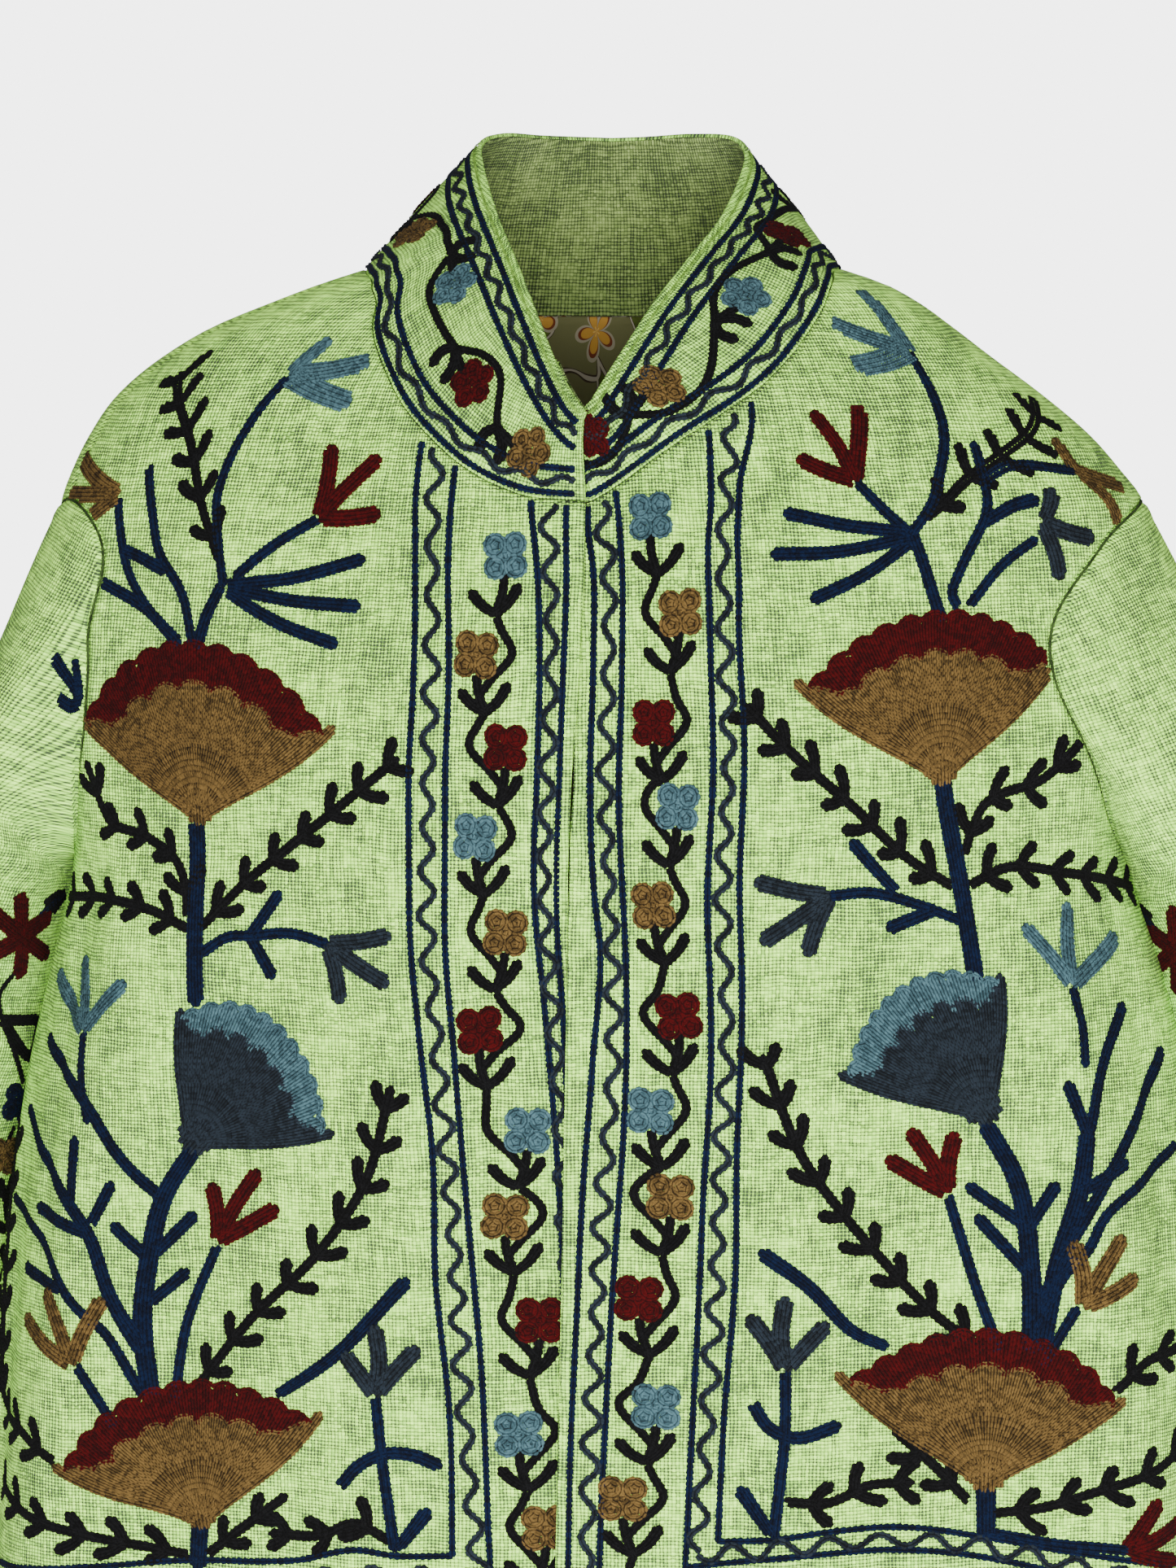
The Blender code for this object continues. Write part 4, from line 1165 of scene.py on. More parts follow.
# The garden on the wearer's right front, in millimetres across from the centre and down
RIGHT_GARDEN = (
    ("row", "navy", (-88, 60), (-88, 83), (-85, 132), (-85, 190), (-88, 239), (-87, 305), (-79, 354),
        (-69, 415), (-66, 477), (-59, 540), (-57, 611)),
    ("wave", "slate", (-78, 62), (-78, 90), (-76, 137), (-76, 190), (-78, 239), (-78, 305), (-69, 364),
        (-60, 436), (-55, 500), (-49, 580), (-45, 618)),
    ("row", "navy", (-70, 60), (-68, 96), (-68, 140), (-67, 189), (-69, 239), (-69, 305), (-60, 374),
        (-51, 456), (-45, 518), (-41, 602), (-39, 640)),
    ("row", "navy", (-29, 90), (-27, 111), (-23, 140), (-21, 189), (-22, 238), (-24, 288), (-17, 353),
        (-13, 394), (-9, 456), (-7, 560), (-5, 700)),
    ("wave", "slate", (-18, 96), (-18, 114), (-16, 145), (-15, 189), (-17, 238), (-18.5, 295), (-13, 353),
        (-10, 394), (-7, 456), (-3, 560), (0, 700)),
    ("row", "navy", (-9, 100), (-9, 116), (-8, 148), (-9, 189), (-10.5, 238), (-12, 302), (-8, 360),
        (-4, 456), (1, 560), (5, 700)),
    ("tulip", "pale_blue", (-183, 51), (-179, 35), (-139, 45), (-136, 64)),
    ("stem", "navy", (-183, 51), (-189, 71), (-193, 89), (-194, 106), (-191, 126), (-187, 150)),
    ("fern", "black", (-190, 138), (-196, 125), (-221, 84), (-265, 50)),
    ("tulip", "red", (-136, 118), (-137, 85), (-110, 90), (-105, 116)),
    ("stem", "navy", (-136, 118), (-158, 130), (-180, 146)),
    ("limb", "navy", (-185, 150), (-148, 146), (-112, 137)),
    ("limb", "navy", (-185, 151), (-148, 157), (-114, 159)),
    ("limb", "navy", (-185, 153), (-155, 168), (-126, 177)),
    ("limb", "navy", (-188, 150), (-198, 166), (-203, 180)),
    ("tulip", "tan", (-256, 108), (-308, 90), (-334, 108), (-282, 124)),
    ("stem", "navy", (-243, 94), (-233, 113), (-226, 135), (-212, 154), (-206, 178)),
    ("limb", "navy", (-252, 134), (-238, 138), (-222, 144)),
    ("limb", "navy", (-263, 150), (-235, 163), (-214, 178)),
    ("stem", "navy", (-256, 110), (-244, 150), (-214, 180)),
    ("fan", ("tan", "red"), (-207, 261), (-280, 214), (-128, 216), (83, 19)),
    ("trunk", "navy", (-209, 262), (-207, 300), (-201, 336), (-198, 350)),
    ("fern", "black", (-203, 314), (-179, 290), (-158, 275), (-133, 258), (-94, 230)),
    ("fern", "black", (-211, 308), (-214, 295), (-220, 283), (-239, 272), (-266, 265), (-279, 238)),
    ("fern", "black", (-209, 314), (-230, 307), (-258, 303), (-312, 306)),
    ("stem", "navy", (-200, 326), (-186, 317), (-174, 316), (-150, 314), (-130, 318)),
    ("limb", "navy", (-174, 316), (-160, 295)),
    ("limb", "navy", (-174, 316), (-158, 335)),
    ("tulip", "slate", (-130, 318), (-97, 313), (-96, 336), (-120, 345)),
    ("tulip", "pale_blue", (-262, 367), (-301, 343), (-276, 333), (-240, 342)),
    ("stem", "navy", (-262, 367), (-257, 388), (-247, 410)),
    ("fan", ("slate", "pale_blue"), (-192, 418), (-204, 353), (-118, 408), (72, 14)),
    ("trunk", "navy", (-203, 545), (-209, 501), (-207, 472), (-202, 443), (-190, 420)),
    ("branch", "navy", (-208, 520), (-225, 494), (-240, 463), (-262, 443), (-310, 411)),
    ("limb", "navy", (-204, 444), (-228, 424), (-246, 405), (-297, 374)),
    ("limb", "navy", (-240, 464), (-279, 456)),
    ("limb", "navy", (-238, 460), (-229, 439)),
    ("limb", "navy", (-209, 473), (-226, 459)),
    ("limb", "navy", (-205, 472), (-187, 452)),
    ("limb", "navy", (-206, 496), (-189, 480)),
    ("limb", "navy", (-251, 453), (-254, 419)),
    ("stem", "navy", (-207, 542), (-228, 511), (-242, 501), (-271, 472), (-317, 457)),
    ("limb", "navy", (-252, 493), (-286, 487)),
    ("tulip", "red", (-174, 464), (-179, 437), (-155, 429), (-144, 446)),
    ("stem", "navy", (-174, 466), (-187, 503), (-192, 546)),
    ("tulip", "tan", (-242, 529), (-279, 511), (-262, 495), (-229, 496)),
    ("stem", "navy", (-240, 529), (-219, 558)),
    ("fern", "black", (-182, 538), (-154, 500), (-122, 466), (-100, 430), (-90, 385)),
    ("taper", "navy", (-140, 537), (-115, 518), (-79, 477)),
    ("tulip", "slate", (-92, 533), (-107, 514), (-93, 500), (-74, 510)),
    ("stem", "navy", (-92, 533), (-88, 567), (-82, 608)),
    ("limb", "navy", (-108, 579), (-98, 567), (-86, 561), (-74, 562), (-63, 567)),
    ("taper", "navy", (-81, 608), (-68, 589)),
    ("fan", ("tan", "red"), (-175, 603), (-247, 579), (-118, 544), (69, 17)),
    ("trunk", "navy", (-176, 603), (-176, 626)),
    ("fern", "black", (-247, 578), (-270, 568), (-312, 556), (-318, 523), (-322, 470), (-326, 420)),
    ("fern", "black", (-180, 620), (-204, 617), (-252, 609), (-299, 596)),
    ("fern", "black", (-172, 619), (-155, 604), (-134, 586)),
    ("fern", "black", (-84, 604), (-100, 596), (-115, 603), (-140, 605)),
    ("row", "navy", (-57, 611), (-83, 611), (-97, 609), (-128, 617), (-169, 621), (-221, 628), (-270, 634),
        (-336, 640)),
    ("wave", "slate", (-45, 622), (-97, 621), (-152, 629), (-221, 639), (-336, 651)),
    ("row", "navy", (-39, 634), (-97, 634), (-152, 641), (-221, 650), (-336, 662)),
    ("row", "navy", (-12, 692), (-100, 693), (-220, 694), (-336, 695)),
    ("fern", "black", (-50, 668), (-90, 664), (-120, 668)),
    ("fern", "black", (-150, 672), (-190, 668), (-226, 674)),
    ("fern", "black", (-256, 678), (-290, 676), (-322, 680)),
    ("bloom", "red", (-135, 670)),
    ("bloom", "pale_blue", (-240, 676)),
    ("bloom", "tan", (-336, 678)),
)
RIGHT_VINE = (
    ("pale_blue", -39, 135), ("tan", -53, 181), ("red", -38, 224), ("pale_blue", -54, 266),
    ("tan", -38, 311), ("red", -49, 357), ("pale_blue", -25, 405), ("tan", -35, 446),
    ("red", -19, 496), ("pale_blue", -28, 551), ("tan", -16, 597), ("red", -24, 640),
)

# The garden on the left front, worked by the same hand to the same plan
LEFT_GARDEN = (
    ("row", "navy", (2, 100), (2, 121), (5, 140), (6, 181), (5, 238), (8, 296), (10, 313), (6, 373),
        (1, 435), (-2, 497), (-5, 559), (-6, 611), (-8, 704)),
    ("wave", "slate", (9, 98), (9, 115), (13, 140), (14, 181), (13, 238), (16, 300), (16, 373), (10, 440),
        (7, 497), (4, 559), (2, 611), (0, 704)),
    ("row", "navy", (14, 90), (16, 104), (20, 140), (21, 189), (20, 238), (23, 313), (21, 394), (17, 445),
        (14, 486), (11, 538), (8, 601), (6, 704)),
    ("row", "navy", (74, 60), (70, 81), (64, 123), (67, 173), (69, 238), (65, 312), (62, 373), (56, 434),
        (52, 496), (48, 558), (45, 610), (42, 650)),
    ("wave", "slate", (88, 56), (84, 74), (72, 115), (74, 165), (77, 230), (73, 308), (70, 365), (64, 424),
        (60, 486), (55, 548), (50, 606)),
    ("row", "navy", (106, 50), (102, 63), (80, 107), (81, 156), (85, 222), (82, 303), (78, 352), (72, 413),
        (69, 475), (63, 537), (59, 601)),
    ("tulip", "pale_blue", (239, 39), (259, 12), (198, 27), (186, 47)),
    ("stem", "navy", (239, 39), (209, 77), (185, 104), (168, 124)),
    ("sprig", "black", (174, 118), (200, 102), (235, 88), (270, 76), (302, 62)),
    ("tulip", "red", (143, 100), (117, 90), (137, 69), (167, 66)),
    ("stem", "navy", (143, 100), (152, 112), (166, 124)),
    ("limb", "navy", (168, 124), (136, 121), (103, 115)),
    ("limb", "navy", (168, 126), (130, 133), (97, 134)),
    ("limb", "navy", (168, 128), (144, 144), (119, 155)),
    ("limb", "navy", (168, 124), (178, 145), (188, 165)),
    ("tulip", "slate", (240, 120), (250, 105), (270, 128), (252, 146)),
    ("tulip", "tan", (276, 96), (279, 82), (306, 104), (292, 124)),
    ("stem", "navy", (197, 160), (192, 152), (194, 145), (206, 120), (214, 100), (222, 83)),
    ("limb", "navy", (206, 120), (224, 112), (239, 109)),
    ("stem", "navy", (214, 100), (232, 94), (274, 96)),
    ("stem", "navy", (202, 159), (219, 139), (237, 128)),
    ("fan", ("tan", "red"), (190, 239), (112, 193), (259, 181), (77, 18)),
    ("trunk", "navy", (190, 239), (200, 286), (197, 334)),
    ("fern", "black", (196, 290), (170, 274), (146, 254), (112, 228), (86, 204)),
    ("fern", "black", (203, 276), (214, 252), (249, 240), (276, 216)),
    ("fern", "black", (204, 290), (226, 282), (262, 286), (325, 298)),
    ("stem", "navy", (197, 306), (176, 298), (152, 292), (130, 293)),
    ("limb", "navy", (166, 292), (143, 268)),
    ("limb", "navy", (186, 300), (158, 309)),
    ("tulip", "slate", (130, 293), (92, 286), (92, 314), (114, 320)),
    ("tulip", "pale_blue", (246, 338), (230, 310), (259, 301), (287, 318)),
    ("stem", "navy", (246, 338), (246, 360), (243, 376)),
    ("fan", ("slate", "pale_blue"), (192, 399), (123, 377), (209, 332), (70, 14)),
    ("trunk", "navy", (202, 514), (204, 472), (201, 428), (190, 402)),
    ("trunk", "navy", (206, 511), (217, 470), (231, 434), (238, 408)),
    ("limb", "navy", (217, 470), (244, 432), (272, 402), (300, 374)),
    ("limb", "navy", (238, 410), (252, 380), (277, 350)),
    ("limb", "navy", (238, 410), (232, 384)),
    ("limb", "navy", (230, 436), (258, 424)),
    ("limb", "navy", (203, 451), (179, 432)),
    ("limb", "navy", (204, 453), (220, 432)),
    ("limb", "navy", (204, 475), (182, 447)),
    ("limb", "navy", (207, 493), (225, 467)),
    ("stem", "navy", (204, 487), (232, 463), (240, 450), (268, 434), (297, 420)),
    ("tulip", "red", (169, 435), (142, 418), (154, 405), (175, 407)),
    ("stem", "navy", (169, 436), (179, 480), (188, 512)),
    ("tulip", "tan", (227, 491), (225, 460), (249, 459), (254, 479)),
    ("stem", "navy", (205, 520), (224, 492)),
    ("fern", "black", (182, 512), (160, 494), (136, 466), (118, 442), (103, 418), (87, 368)),
    ("taper", "navy", (137, 508), (124, 502), (101, 477), (81, 461)),
    ("tulip", "slate", (90, 517), (75, 492), (91, 483), (109, 496)),
    ("stem", "navy", (90, 517), (89, 548), (86, 575), (83, 598)),
    ("limb", "navy", (75, 533), (83, 546), (92, 550), (113, 545)),
    ("taper", "navy", (82, 597), (69, 575)),
    ("fan", ("tan", "red"), (179, 577), (113, 520), (241, 535), (75, 17)),
    ("trunk", "navy", (179, 577), (178, 602)),
    ("fern", "black", (88, 581), (108, 582), (125, 575), (145, 574)),
    ("fern", "black", (171, 585), (157, 568), (138, 548)),
    ("fern", "black", (181, 591), (199, 589), (235, 579), (269, 568), (300, 548)),
    ("fern", "black", (238, 533), (256, 520), (280, 516), (300, 490), (306, 440)),
    ("stem", "navy", (178, 600), (208, 606), (240, 610)),
    ("tulip", "red", (240, 610), (257, 588), (270, 600), (264, 618)),
    ("row", "navy", (59, 601), (78, 600), (110, 596), (145, 596), (175, 602), (240, 615), (336, 628)),
    ("wave", "slate", (50, 608), (110, 602), (145, 602), (190, 610), (240, 622), (336, 640)),
    ("row", "navy", (45, 614), (81, 609), (145, 607), (197, 617), (250, 632), (336, 651)),
    ("row", "navy", (12, 692), (100, 690), (220, 691), (336, 692)),
    ("fern", "black", (52, 656), (90, 650), (122, 656)),
    ("fern", "black", (152, 658), (190, 652), (228, 660)),
    ("fern", "black", (258, 668), (290, 666), (322, 672)),
    ("bloom", "red", (137, 654)),
    ("bloom", "pale_blue", (242, 664)),
    ("bloom", "tan", (336, 672)),
)
LEFT_VINE = (
    ("pale_blue", 34, 116), ("tan", 51, 161), ("red", 38, 212), ("pale_blue", 51, 251),
    ("tan", 38, 297), ("red", 48, 349), ("pale_blue", 33, 394), ("tan", 41, 435),
    ("red", 26, 484), ("pale_blue", 33, 536), ("tan", 18, 581), ("red", 30, 628),
)


# Widths at the start and the end of each kind of stem and leaf
LIMBS = {
    "stem": (4.8, 4.8),
    "limb": (5.2, 6.0),
    "taper": (4.4, 6.8),
    "branch": (7.6, 4.6),
    "trunk": (9.0, 8.0),
    "leaf": (13.0, 9.0),
}


def work_garden(work, garden, across=0.0, down=0.0):
    for kind, colour, *rest in garden:
        points = [(x + across, y + down) for x, y in rest]
        if kind in LIMBS:
            work.limb(colour, points, *LIMBS[kind])
        elif kind == "row":
            work.row(colour, curve(points), LINE_WIDTH)
        elif kind == "wave":
            work.wave(colour, points)
        elif kind == "fern":
            work.fern(points)
        elif kind == "sprig":
            work.fern(points, gap=27.0)
        elif kind == "tulip":
            work.tulip(colour, *points, width=7.6 if points[0][1] > 70 else 9.4)
        elif kind == "bloom":
            work.blossom(colour, points[0])
        elif kind == "daisy":
            for way in 0.3 + np.arange(6) * math.pi / 3:
                work.limb(colour, [points[0], ahead_of(points[0], way, 23.5)], 9.0)
        elif kind == "fan":
            work.fan(*points[:3], *rest[-1], *colour)


def level_of(turn, height):
    neck = neck_height(turn)
    return (height - neck) / (1 + neck / NECK_FADE)


def turn_across(across):
    return np.sign(across) * np.interp(np.abs(across), CHEST_RUN, CHEST_TURNS)


# How far the work stays from the front edge, the neck, the hem and the armhole (in degrees)
EDGE_MARGIN, NECK_MARGIN, HEM_MARGIN, ARMHOLE_MARGIN = 0.0035, 0.0045, 0.006, 1.3


def on_front(side):
    def surface(across, down):
        return front_surface(side, turn_across(across / 1000.0), -down / 1000.0)

    def keep(across, down):
        turn, height = turn_across(across / 1000.0), -down / 1000.0
        level = level_of(turn, height)
        past_edge = side * (body_point(turn, height)[:, 0] - centre_edge(side, height))
        within = (past_edge > EDGE_MARGIN) & (level < -NECK_MARGIN) & (height > HEM + HEM_MARGIN)
        return within & (np.abs(turn) < armhole_turns(side, level)[0] - ARMHOLE_MARGIN)

    return surface, keep


for side, name, garden, vine, seed in (
    (-1, "right_front", RIGHT_GARDEN, RIGHT_VINE, 11),
    (1, "left_front", LEFT_GARDEN, LEFT_VINE, 12),
):
    work = Needlework(seed)
    work_garden(work, garden)
    lane = np.convolve(np.pad(column(vine, 1), 1, mode="edge"), [0.25, 0.5, 0.25], mode="valid")
    work.vine(lambda y: float(np.interp(y, column(vine, 2), lane)), vine)
    work.sew(name, *on_front(side))

# The back carries the plants of both fronts, either side of a vine, down to the border at the hem.
# The first rows of a front's garden are the lines along its edge, which the back doesn't have.
EDGE_LINES = 6
BACK_PLANTS_REACH, BACK_PLANTS_END = 320, 600
BACK_ARMHOLE_MARGIN, BACK_NECK_MARGIN, BACK_REACH = 1.5, 0.006, 334.0


def on_back(across, down):
    turn = np.sign(across + 1e-6) * (180.0 - turn_across(np.abs(across) / 1000.0))
    return body_point(turn, -down / 1000.0), body_normal(turn, -down / 1000.0)


def keep_on_back(across, down):
    turn = 180.0 - turn_across(np.abs(across) / 1000.0)
    level = level_of(np.sign(across + 1e-6) * turn, -down / 1000.0)
    armhole = np.where(across < 0, armhole_turns(-1, level)[1], armhole_turns(1, level)[1])
    within = (turn > armhole + BACK_ARMHOLE_MARGIN) & (level < -BACK_NECK_MARGIN)
    return within & (-down / 1000.0 > HEM + HEM_MARGIN) & (np.abs(across) < BACK_REACH)


BACK_VINE = tuple(
    (("pale_blue", "tan", "red")[number % 3], 8 * (-1) ** number, 62 + 45 * number) for number in range(13)
)
BACK_BORDER = (
    ("row", "navy", (-336, 640), (-200, 634), (-60, 622), (60, 622), (200, 632), (336, 636)),
    ("wave", "slate", (-336, 651), (-200, 645), (-60, 633), (60, 633), (200, 643), (336, 647)),
    ("row", "navy", (-336, 662), (-200, 656), (-60, 644), (60, 644), (200, 654), (336, 658)),
    ("row", "navy", (-336, 695), (-100, 693), (100, 693), (336, 693)),
    ("row", "navy", (-34, 30), (-36, 200), (-32, 400), (-34, 622)),
    ("row", "navy", (34, 30), (36, 200), (34, 400), (34, 622)),
    ("fern", "black", (-250, 676), (-290, 674), (-326, 680)),
    ("fern", "black", (-130, 672), (-170, 668), (-206, 674)),
    ("fern", "black", (-16, 668), (-50, 662), (-84, 668)),
    ("fern", "black", (16, 668), (50, 662), (84, 668)),
    ("fern", "black", (130, 672), (170, 668), (206, 674)),
    ("fern", "black", (250, 676), (290, 674), (326, 680)),
    ("bloom", "red", (-106, 670)),
    ("bloom", "tan", (-228, 674)),
    ("bloom", "pale_blue", (0, 668)),
    ("bloom", "red", (108, 670)),
    ("bloom", "tan", (228, 674)),
)
work = Needlework(13)
for garden, across in ((RIGHT_GARDEN, 24.0), (LEFT_GARDEN, -22.0)):
    plants = [
        motif
        for motif in garden[EDGE_LINES:]
        if motif[2][1] < BACK_PLANTS_END and abs(motif[2][0]) < BACK_PLANTS_REACH
    ]
    work_garden(work, plants, across, 4.0)
work_garden(work, BACK_BORDER)
work.vine(lambda y: 0.0, BACK_VINE)
work.sew("back", on_back, keep_on_back)


# The rest of the work is placed on the grids of the sleeves and the collar
SLEEVE_MARGIN = 7.0
BAND_REACH = 386.0


def on_grid(grid, row, place):
    row = np.clip(row, 0.0, len(grid) - 1.001)
    place = np.clip(place, 0.0, grid.shape[1] - 1.001)
    top, first = row.astype(int), place.astype(int)
    down, along = (row - top)[:, None], (place - first)[:, None]
    above = grid[top, first] * (1 - along) + grid[top, first + 1] * along
    below = grid[top + 1, first] * (1 - along) + grid[top + 1, first + 1] * along
    return above * (1 - down) + below * down


def sleeve_girths(name):
    grid = sleeve_cloths[name][0]
    return np.cumsum(np.linalg.norm(np.roll(grid, -1, axis=1) - grid, axis=2), axis=1)[:, -1]


def on_sleeve(name):
    grid, normals, outer_runs = sleeve_cloths[name]
    grid, normals = (np.concatenate([part, part[:, :1]], axis=1) for part in (grid, normals))
    rows, girths = np.arange(len(grid), dtype=float), sleeve_girths(name)

    def surface(across, down):
        row = np.interp(down / 1000.0, outer_runs, rows)
        girth = np.interp(row, rows, girths)
        place = (0.25 + across / 1000.0 / girth) % 1.0 * SLEEVE_POINTS
        return on_grid(grid, row, place), of_length_one(on_grid(normals, row, place))

    def keep(across, down):
        return (down > SLEEVE_MARGIN) & (down < 1000.0 * SLEEVE_LENGTH - SLEEVE_MARGIN)

    return surface, keep


# Across from the middle of the sleeve's front, positive towards the body, and down its outer line.
# The first twigs are on the right sleeve alone, and the left one has a bud instead.
FIRST_TWIGS = 3
SLEEVE_GARDEN = (
    ("limb", "navy", (6, 8), (-14, 26), (-34, 44)),
    ("limb", "navy", (6, 8), (0, 24), (-10, 38)),
    ("limb", "navy", (6, 8), (-4, 12), (-16, 16)),
    ("daisy", "red", (34, 196)),
    ("leaf", "black", (48, 178), (58, 160)),
    ("row", "navy", (44, 182), (58, 162)),
    ("limb", "black", (34, 246), (58, 242)),
    ("limb", "black", (34, 246), (56, 264), (60, 244)),
    ("bloom", "navy", (54, 292)),
    ("bloom", "tan", (50, 324)),
    ("fern", "black", (62, 400), (66, 380), (58, 352), (62, 330)),
    ("row", "black", (37, 214), (30, 232), (44, 262), (54, 280)),
    ("row", "black", (54, 306), (44, 340), (50, 376), (48, 416)),
    ("fern", "black", (-22, 416), (0, 380), (14, 340), (12, 290)),
    ("fan", ("tan", "red"), (-56, 262), (-104, 224), (-12, 228), (56, 15)),
    ("trunk", "navy", (-56, 262), (-52, 320), (-50, 400)),
    ("fern", "black", (-53, 318), (-36, 300), (-22, 270), (-14, 246)),
    ("fern", "black", (-56, 320), (-80, 306), (-106, 300)),
    ("limb", "navy", (-52, 350), (-74, 336), (-92, 338)),
    ("tulip", "pale_blue", (-96, 356), (-118, 338), (-100, 326), (-80, 332)),
    ("stem", "navy", (-96, 356), (-80, 380), (-54, 402)),
    ("tulip", "slate", (-22, 180), (-40, 160), (-22, 152), (-4, 164)),
    ("stem", "navy", (-22, 180), (-30, 196), (-46, 208)),
    ("tulip", "red", (-90, 176), (-112, 158), (-96, 148), (-74, 156)),
    ("stem", "navy", (-90, 176), (-82, 196), (-66, 208)),
    ("fan", ("slate", "pale_blue"), (-150, 300), (-196, 262), (-112, 256), (48, 12)),
    ("trunk", "navy", (-150, 300), (-146, 350), (-144, 404)),
    ("fern", "black", (-150, 352), (-170, 336), (-188, 306)),
    ("tulip", "tan", (-150, 214), (-172, 196), (-152, 186), (-134, 198)),
    ("stem", "navy", (-150, 214), (-152, 236), (-150, 250)),
)
CUFF_BORDER = tuple(
    (kind, colour, *((across, down) for across in (-175, -90, 0, 90, 175)))
    for kind, colour, down in (
        ("row", "navy", 424), ("wave", "slate", 434), ("row", "navy", 444), ("row", "navy", 470)
    )
)
LEFT_SLEEVE_BUD = (
    ("limb", "tan", (76, 176), (84, 196), (86, 222)),
    ("limb", "red", (80, 188), (62, 184)),
    ("limb", "red", (82, 206), (64, 210)),
)
for name, seed, garden in (
    ("right_sleeve", 14, SLEEVE_GARDEN + CUFF_BORDER),
    ("left_sleeve", 15, SLEEVE_GARDEN[FIRST_TWIGS:] + CUFF_BORDER + LEFT_SLEEVE_BUD),
):
    work = Needlework(seed)
    work_garden(work, garden)
    work.sew(name, *on_sleeve(name))


def collar_depth(across):
    return np.interp(across / 1000.0, collar_layout[2][0], -collar_layout[3][-1]) * 1000.0


def on_collar(across, up):
    grid, normals, across_map, _ = collar_layout
    place = np.interp(across / 1000.0, across_map[0], np.arange(grid.shape[1], dtype=float))
    row = np.interp(up / collar_depth(across), spaced(len(grid)), np.arange(len(grid), dtype=float))
    return on_grid(grid, row, place), of_length_one(on_grid(normals, row, place))


def keep_on_collar(across, up):
    high, low = up < collar_depth(across) - TOP_MARGIN, up > SEAM_MARGIN
    return (np.abs(across) < BAND_REACH) & low & high


def level_line(across, down):
    return np.stack(np.broadcast_arrays(across, down), axis=1)


# Millimetres up from the neck seam, and down from the top edge
SEAM_MARGIN, TOP_MARGIN = 1.5, 2.0
LOW_LINES, LOW_WAVE = (3.0, 14.5), 8.8
TOP_LINES, TOP_WAVE = (8.5, 20.5), 14.5
WAVE_HEIGHT, WAVE_LENGTH = 2.0, 24.0
# Along the band from the centre back, and up from the neck seam
COLLAR_VINE = (
    ("tan", -356, 20), ("red", -305, 32), ("pale_blue", -245, 46), ("tan", -186, 30),
    ("red", -128, 44), ("pale_blue", -70, 34), ("tan", -12, 46), ("red", 48, 34),
    ("pale_blue", 110, 46), ("red", 179, 29), ("pale_blue", 236, 34), ("tan", 309, 27),
    ("red", 357, 27),
)
work = Needlework(16)
band = np.linspace(2.0 - BAND_REACH, BAND_REACH - 2.0, 150)
depths = collar_depth(band)
for up in (*LOW_LINES, *(depths - down for down in TOP_LINES)):
    work.row("navy", level_line(band, up), LINE_WIDTH)
for up in (LOW_WAVE, depths - TOP_WAVE):
    work.wave("slate", level_line(band, up), WAVE_HEIGHT, WAVE_LENGTH)
last = None
for colour, along, up in COLLAR_VINE[::-1]:
    hand = 1.0 if up < 0.5 * float(collar_depth(along)) else -1.0
    node = (along + 23.0, up + 4.0 * hand)
    work.blossom(colour, (along, up), 5, 7.4, 10.4)
    work.limb("black", [node, (along + 9.0, up)], 4.0)
    for bend, tip in ((-7.0, -9.0), (5.0, 3.0)):
        leaf = [node, (node[0] + bend, node[1] - 6.0 * hand), (node[0] + tip, node[1] - 14.0 * hand)]
        work.limb("black", leaf, 4.0, 5.6)
    if last:
        around = [(last[0] + 7.0, last[3] + 13.0 * last[2]), (last[0] - 9.0, last[3] + 13.0 * last[2])]
        work.limb("black", [last[1], *around, node], 3.4)
    last = (along, node, hand, up)
work.sew("collar", on_collar, keep_on_collar)

# The topstitching
# A fine running line of green sewing cotton, worked by machine. It holds the turned edges of the
# collar, the hem and the cuffs. A darker line in each armhole seam is painted shade in its crease.
THREAD_WIDTH = 1.3
ARMHOLE_SHADE_WIDTH = 1.6
HEM_ROW = -1000.0 * HEM - 12.0
CUFF_ROW = 1000.0 * SLEEVE_LENGTH - 9.0
COLLAR_ROW = 4.2
ARMHOLE_ROW = 1.3
YARNS["cotton_thread"] = wool_yarn("green_sewing_cotton", (30, 42, 18), (76, 110, 40), (124, 166, 66))
# The armhole line is painted shade in the seam's crease, laid as a row of dark thread
YARNS["armhole_seam_shade"] = wool_yarn("armhole_painted_shade_thread", (5, 9, 3), (26, 38, 14), (54, 74, 34))


def topstitch(name, seed, line, surface, keep, yarn="cotton_thread", width=THREAD_WIDTH):
    thread = Needlework(seed)
    thread.row(yarn, line, width)
    thread.sew(name, surface, keep, "sewing_thread")


for side, name in FRONTS:
    hem = np.linspace(-side * 20.0, side * 336.0, 200)
    topstitch(name, 20 + side, level_line(hem, HEM_ROW), *on_front(side))
topstitch("back", 22, level_line(np.linspace(-BACK_REACH, BACK_REACH, 400), HEM_ROW), on_back, keep_on_back)
for name in sleeve_cloths:
    surface, keep = on_sleeve(name)
    topstitch(name, 23, level_line(np.linspace(-175.0, 175.0, 200), CUFF_ROW), surface, keep)
    half_girth = 500.0 * float(sleeve_girths(name)[2])
    armhole = level_line(np.linspace(-half_girth, half_girth, 300), ARMHOLE_ROW)
    topstitch(name, 25, armhole, surface, lambda across, down: down > 0.0, "armhole_seam_shade", ARMHOLE_SHADE_WIDTH)
topstitch("collar", 24, level_line(band, depths - COLLAR_ROW), on_collar, keep_on_collar)

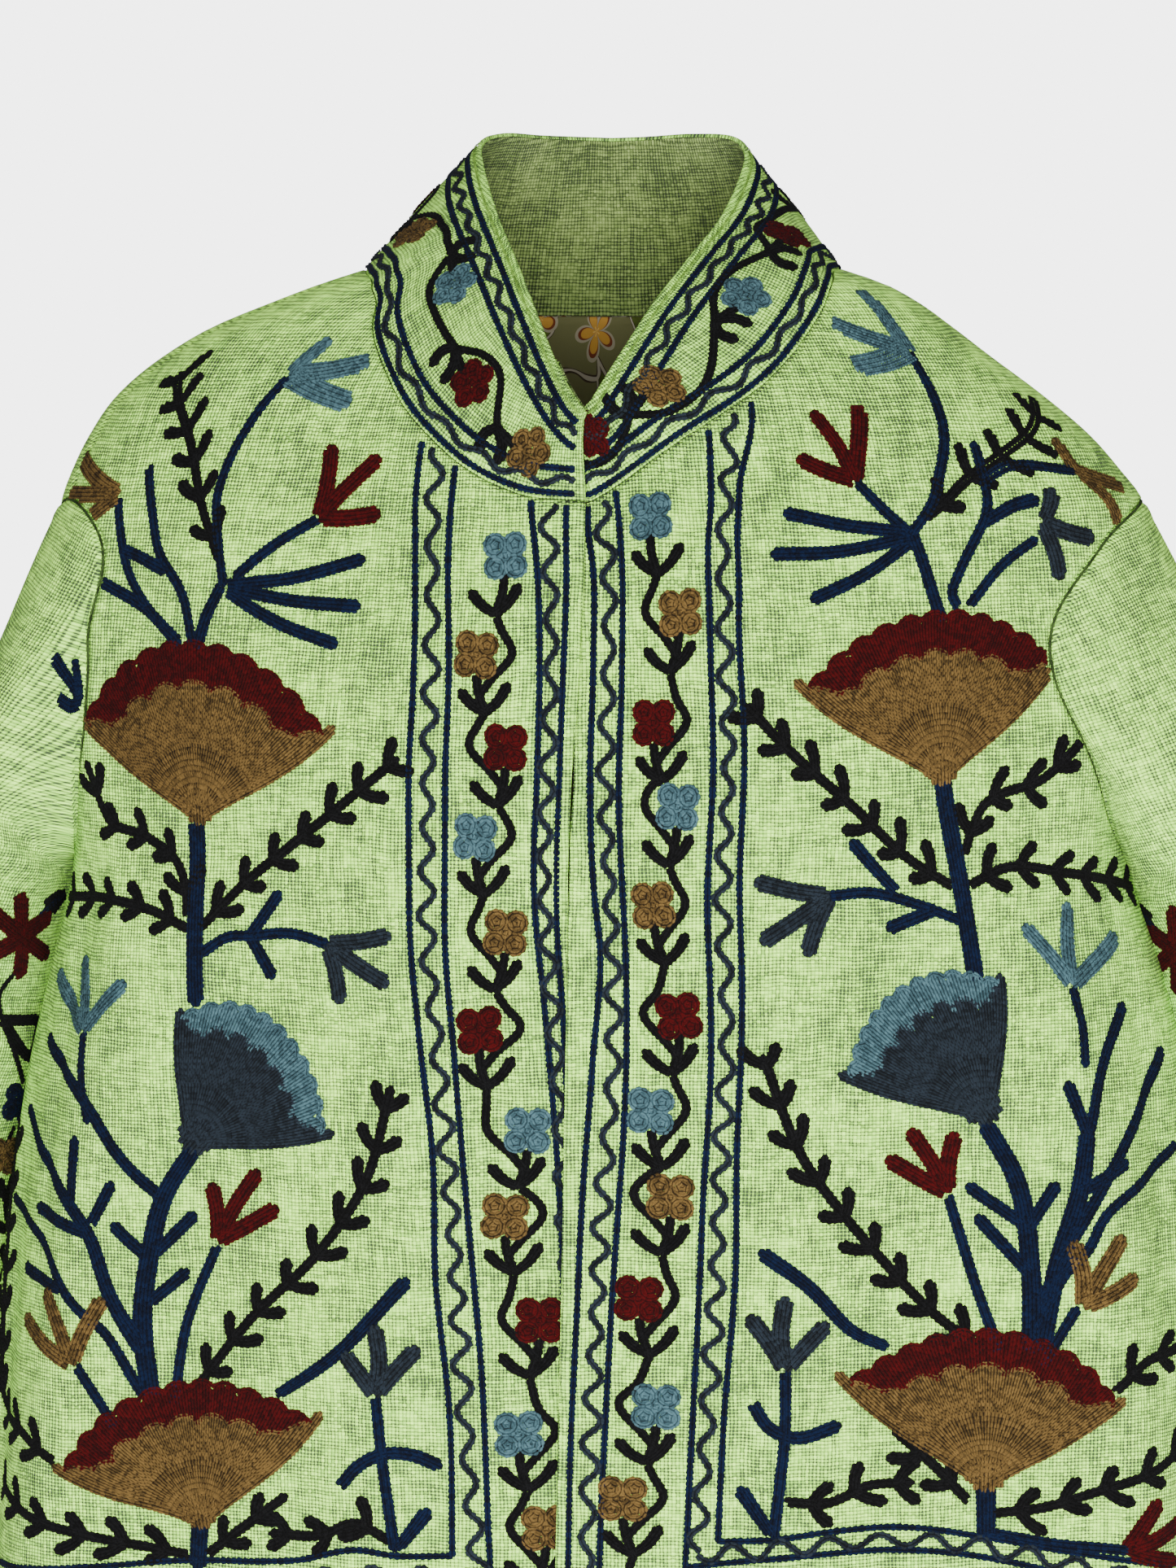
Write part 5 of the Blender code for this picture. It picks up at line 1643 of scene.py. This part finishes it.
# Camera, lights and floor
# The camera looks a little from the wearer's left and from above. Soft light comes from the front,
# the back and above, and the floor is plain.
AIM = (-0.007, 0.0, -0.2514)
DISTANCE = 2.4
FRAME_HEIGHT = 0.7708
SENSOR = 36.0
CAMERA_TURN, CAMERA_RISE = math.radians(5.0), math.radians(5.0)
camera = bpy.data.objects.new("camera", bpy.data.cameras.new("camera"))
camera.location = [
    AIM[0] + DISTANCE * math.sin(CAMERA_TURN) * math.cos(CAMERA_RISE),
    AIM[1] - DISTANCE * math.cos(CAMERA_TURN) * math.cos(CAMERA_RISE),
    AIM[2] + DISTANCE * math.sin(CAMERA_RISE),
]
camera.rotation_euler = (math.pi / 2 - CAMERA_RISE, 0.0, CAMERA_TURN)
camera.data.sensor_fit = "VERTICAL"
camera.data.sensor_height = SENSOR
camera.data.lens = SENSOR * DISTANCE / FRAME_HEIGHT
bpy.context.scene.collection.objects.link(camera)
bpy.context.scene.camera = camera

# name, place, where it points, size, power
LIGHTS = (
    ("front_light", (0.15, -2.2, -0.42), (0.0, 0.0, -0.45), 1.5, 148.0),
    ("side_light", (2.2, -2.0, 0.9), (0.0, 0.0, -0.30), 2.0, 30.0),
    ("back_light", (-0.2, 2.4, -0.25), (0.0, 0.0, -0.45), 1.6, 120.0),
    ("top_light", (-0.6, 1.6, 2.2), (0.0, 0.0, -0.30), 2.0, 45.0),
)
for name, place, aim, size, power in LIGHTS:
    lamp = bpy.data.lights.new(name, "AREA")
    lamp.shape, lamp.size, lamp.energy = "DISK", size, power
    holder = bpy.data.objects.new(name, lamp)
    way = of_length_one(np.array(aim) - np.array(place))
    holder.location = place
    holder.rotation_euler = (math.acos(-way[2]), 0.0, math.atan2(way[1], way[0]) - math.pi / 2)
    holder.visible_camera = False
    bpy.context.scene.collection.objects.link(holder)

# The backdrop is brighter to the camera than the light that it throws on the cloth
BACKDROP, THROWN = 4.66, 0.50
world = bpy.data.worlds.new("studio")
world.use_nodes = True
nodes, join = world.node_tree.nodes, world.node_tree.links.new
seen, thrown = nodes["Background"], nodes.new("ShaderNodeBackground")
for background, strength in ((seen, BACKDROP), (thrown, THROWN)):
    background.inputs["Strength"].default_value = strength
    background.inputs["Color"].default_value = (1.0, 1.0, 1.0, 1.0)
both = nodes.new("ShaderNodeMixShader")
join(nodes.new("ShaderNodeLightPath").outputs["Is Camera Ray"], both.inputs["Fac"])
join(thrown.outputs["Background"], both.inputs[1])
join(seen.outputs["Background"], both.inputs[2])
join(both.outputs["Shader"], nodes["World Output"].inputs["Surface"])
bpy.context.scene.world = world

FLOOR_HEIGHT = -1.5
floor_mesh = bpy.data.meshes.new("floor")
floor_corners = [(x, y, FLOOR_HEIGHT) for x, y in ((-6, -6), (6, -6), (6, 6), (-6, 6))]
floor_mesh.from_pydata(floor_corners, [], [(0, 1, 2, 3)])
floor = bpy.data.objects.new("floor", floor_mesh)
floor_finish = Finish("pale_floor", 0.9)
floor_finish.shader.inputs["Base Color"].default_value = (*linear((250, 250, 250)), 1.0)
floor_mesh.materials.append(floor_finish.material)
bpy.context.scene.collection.objects.link(floor)
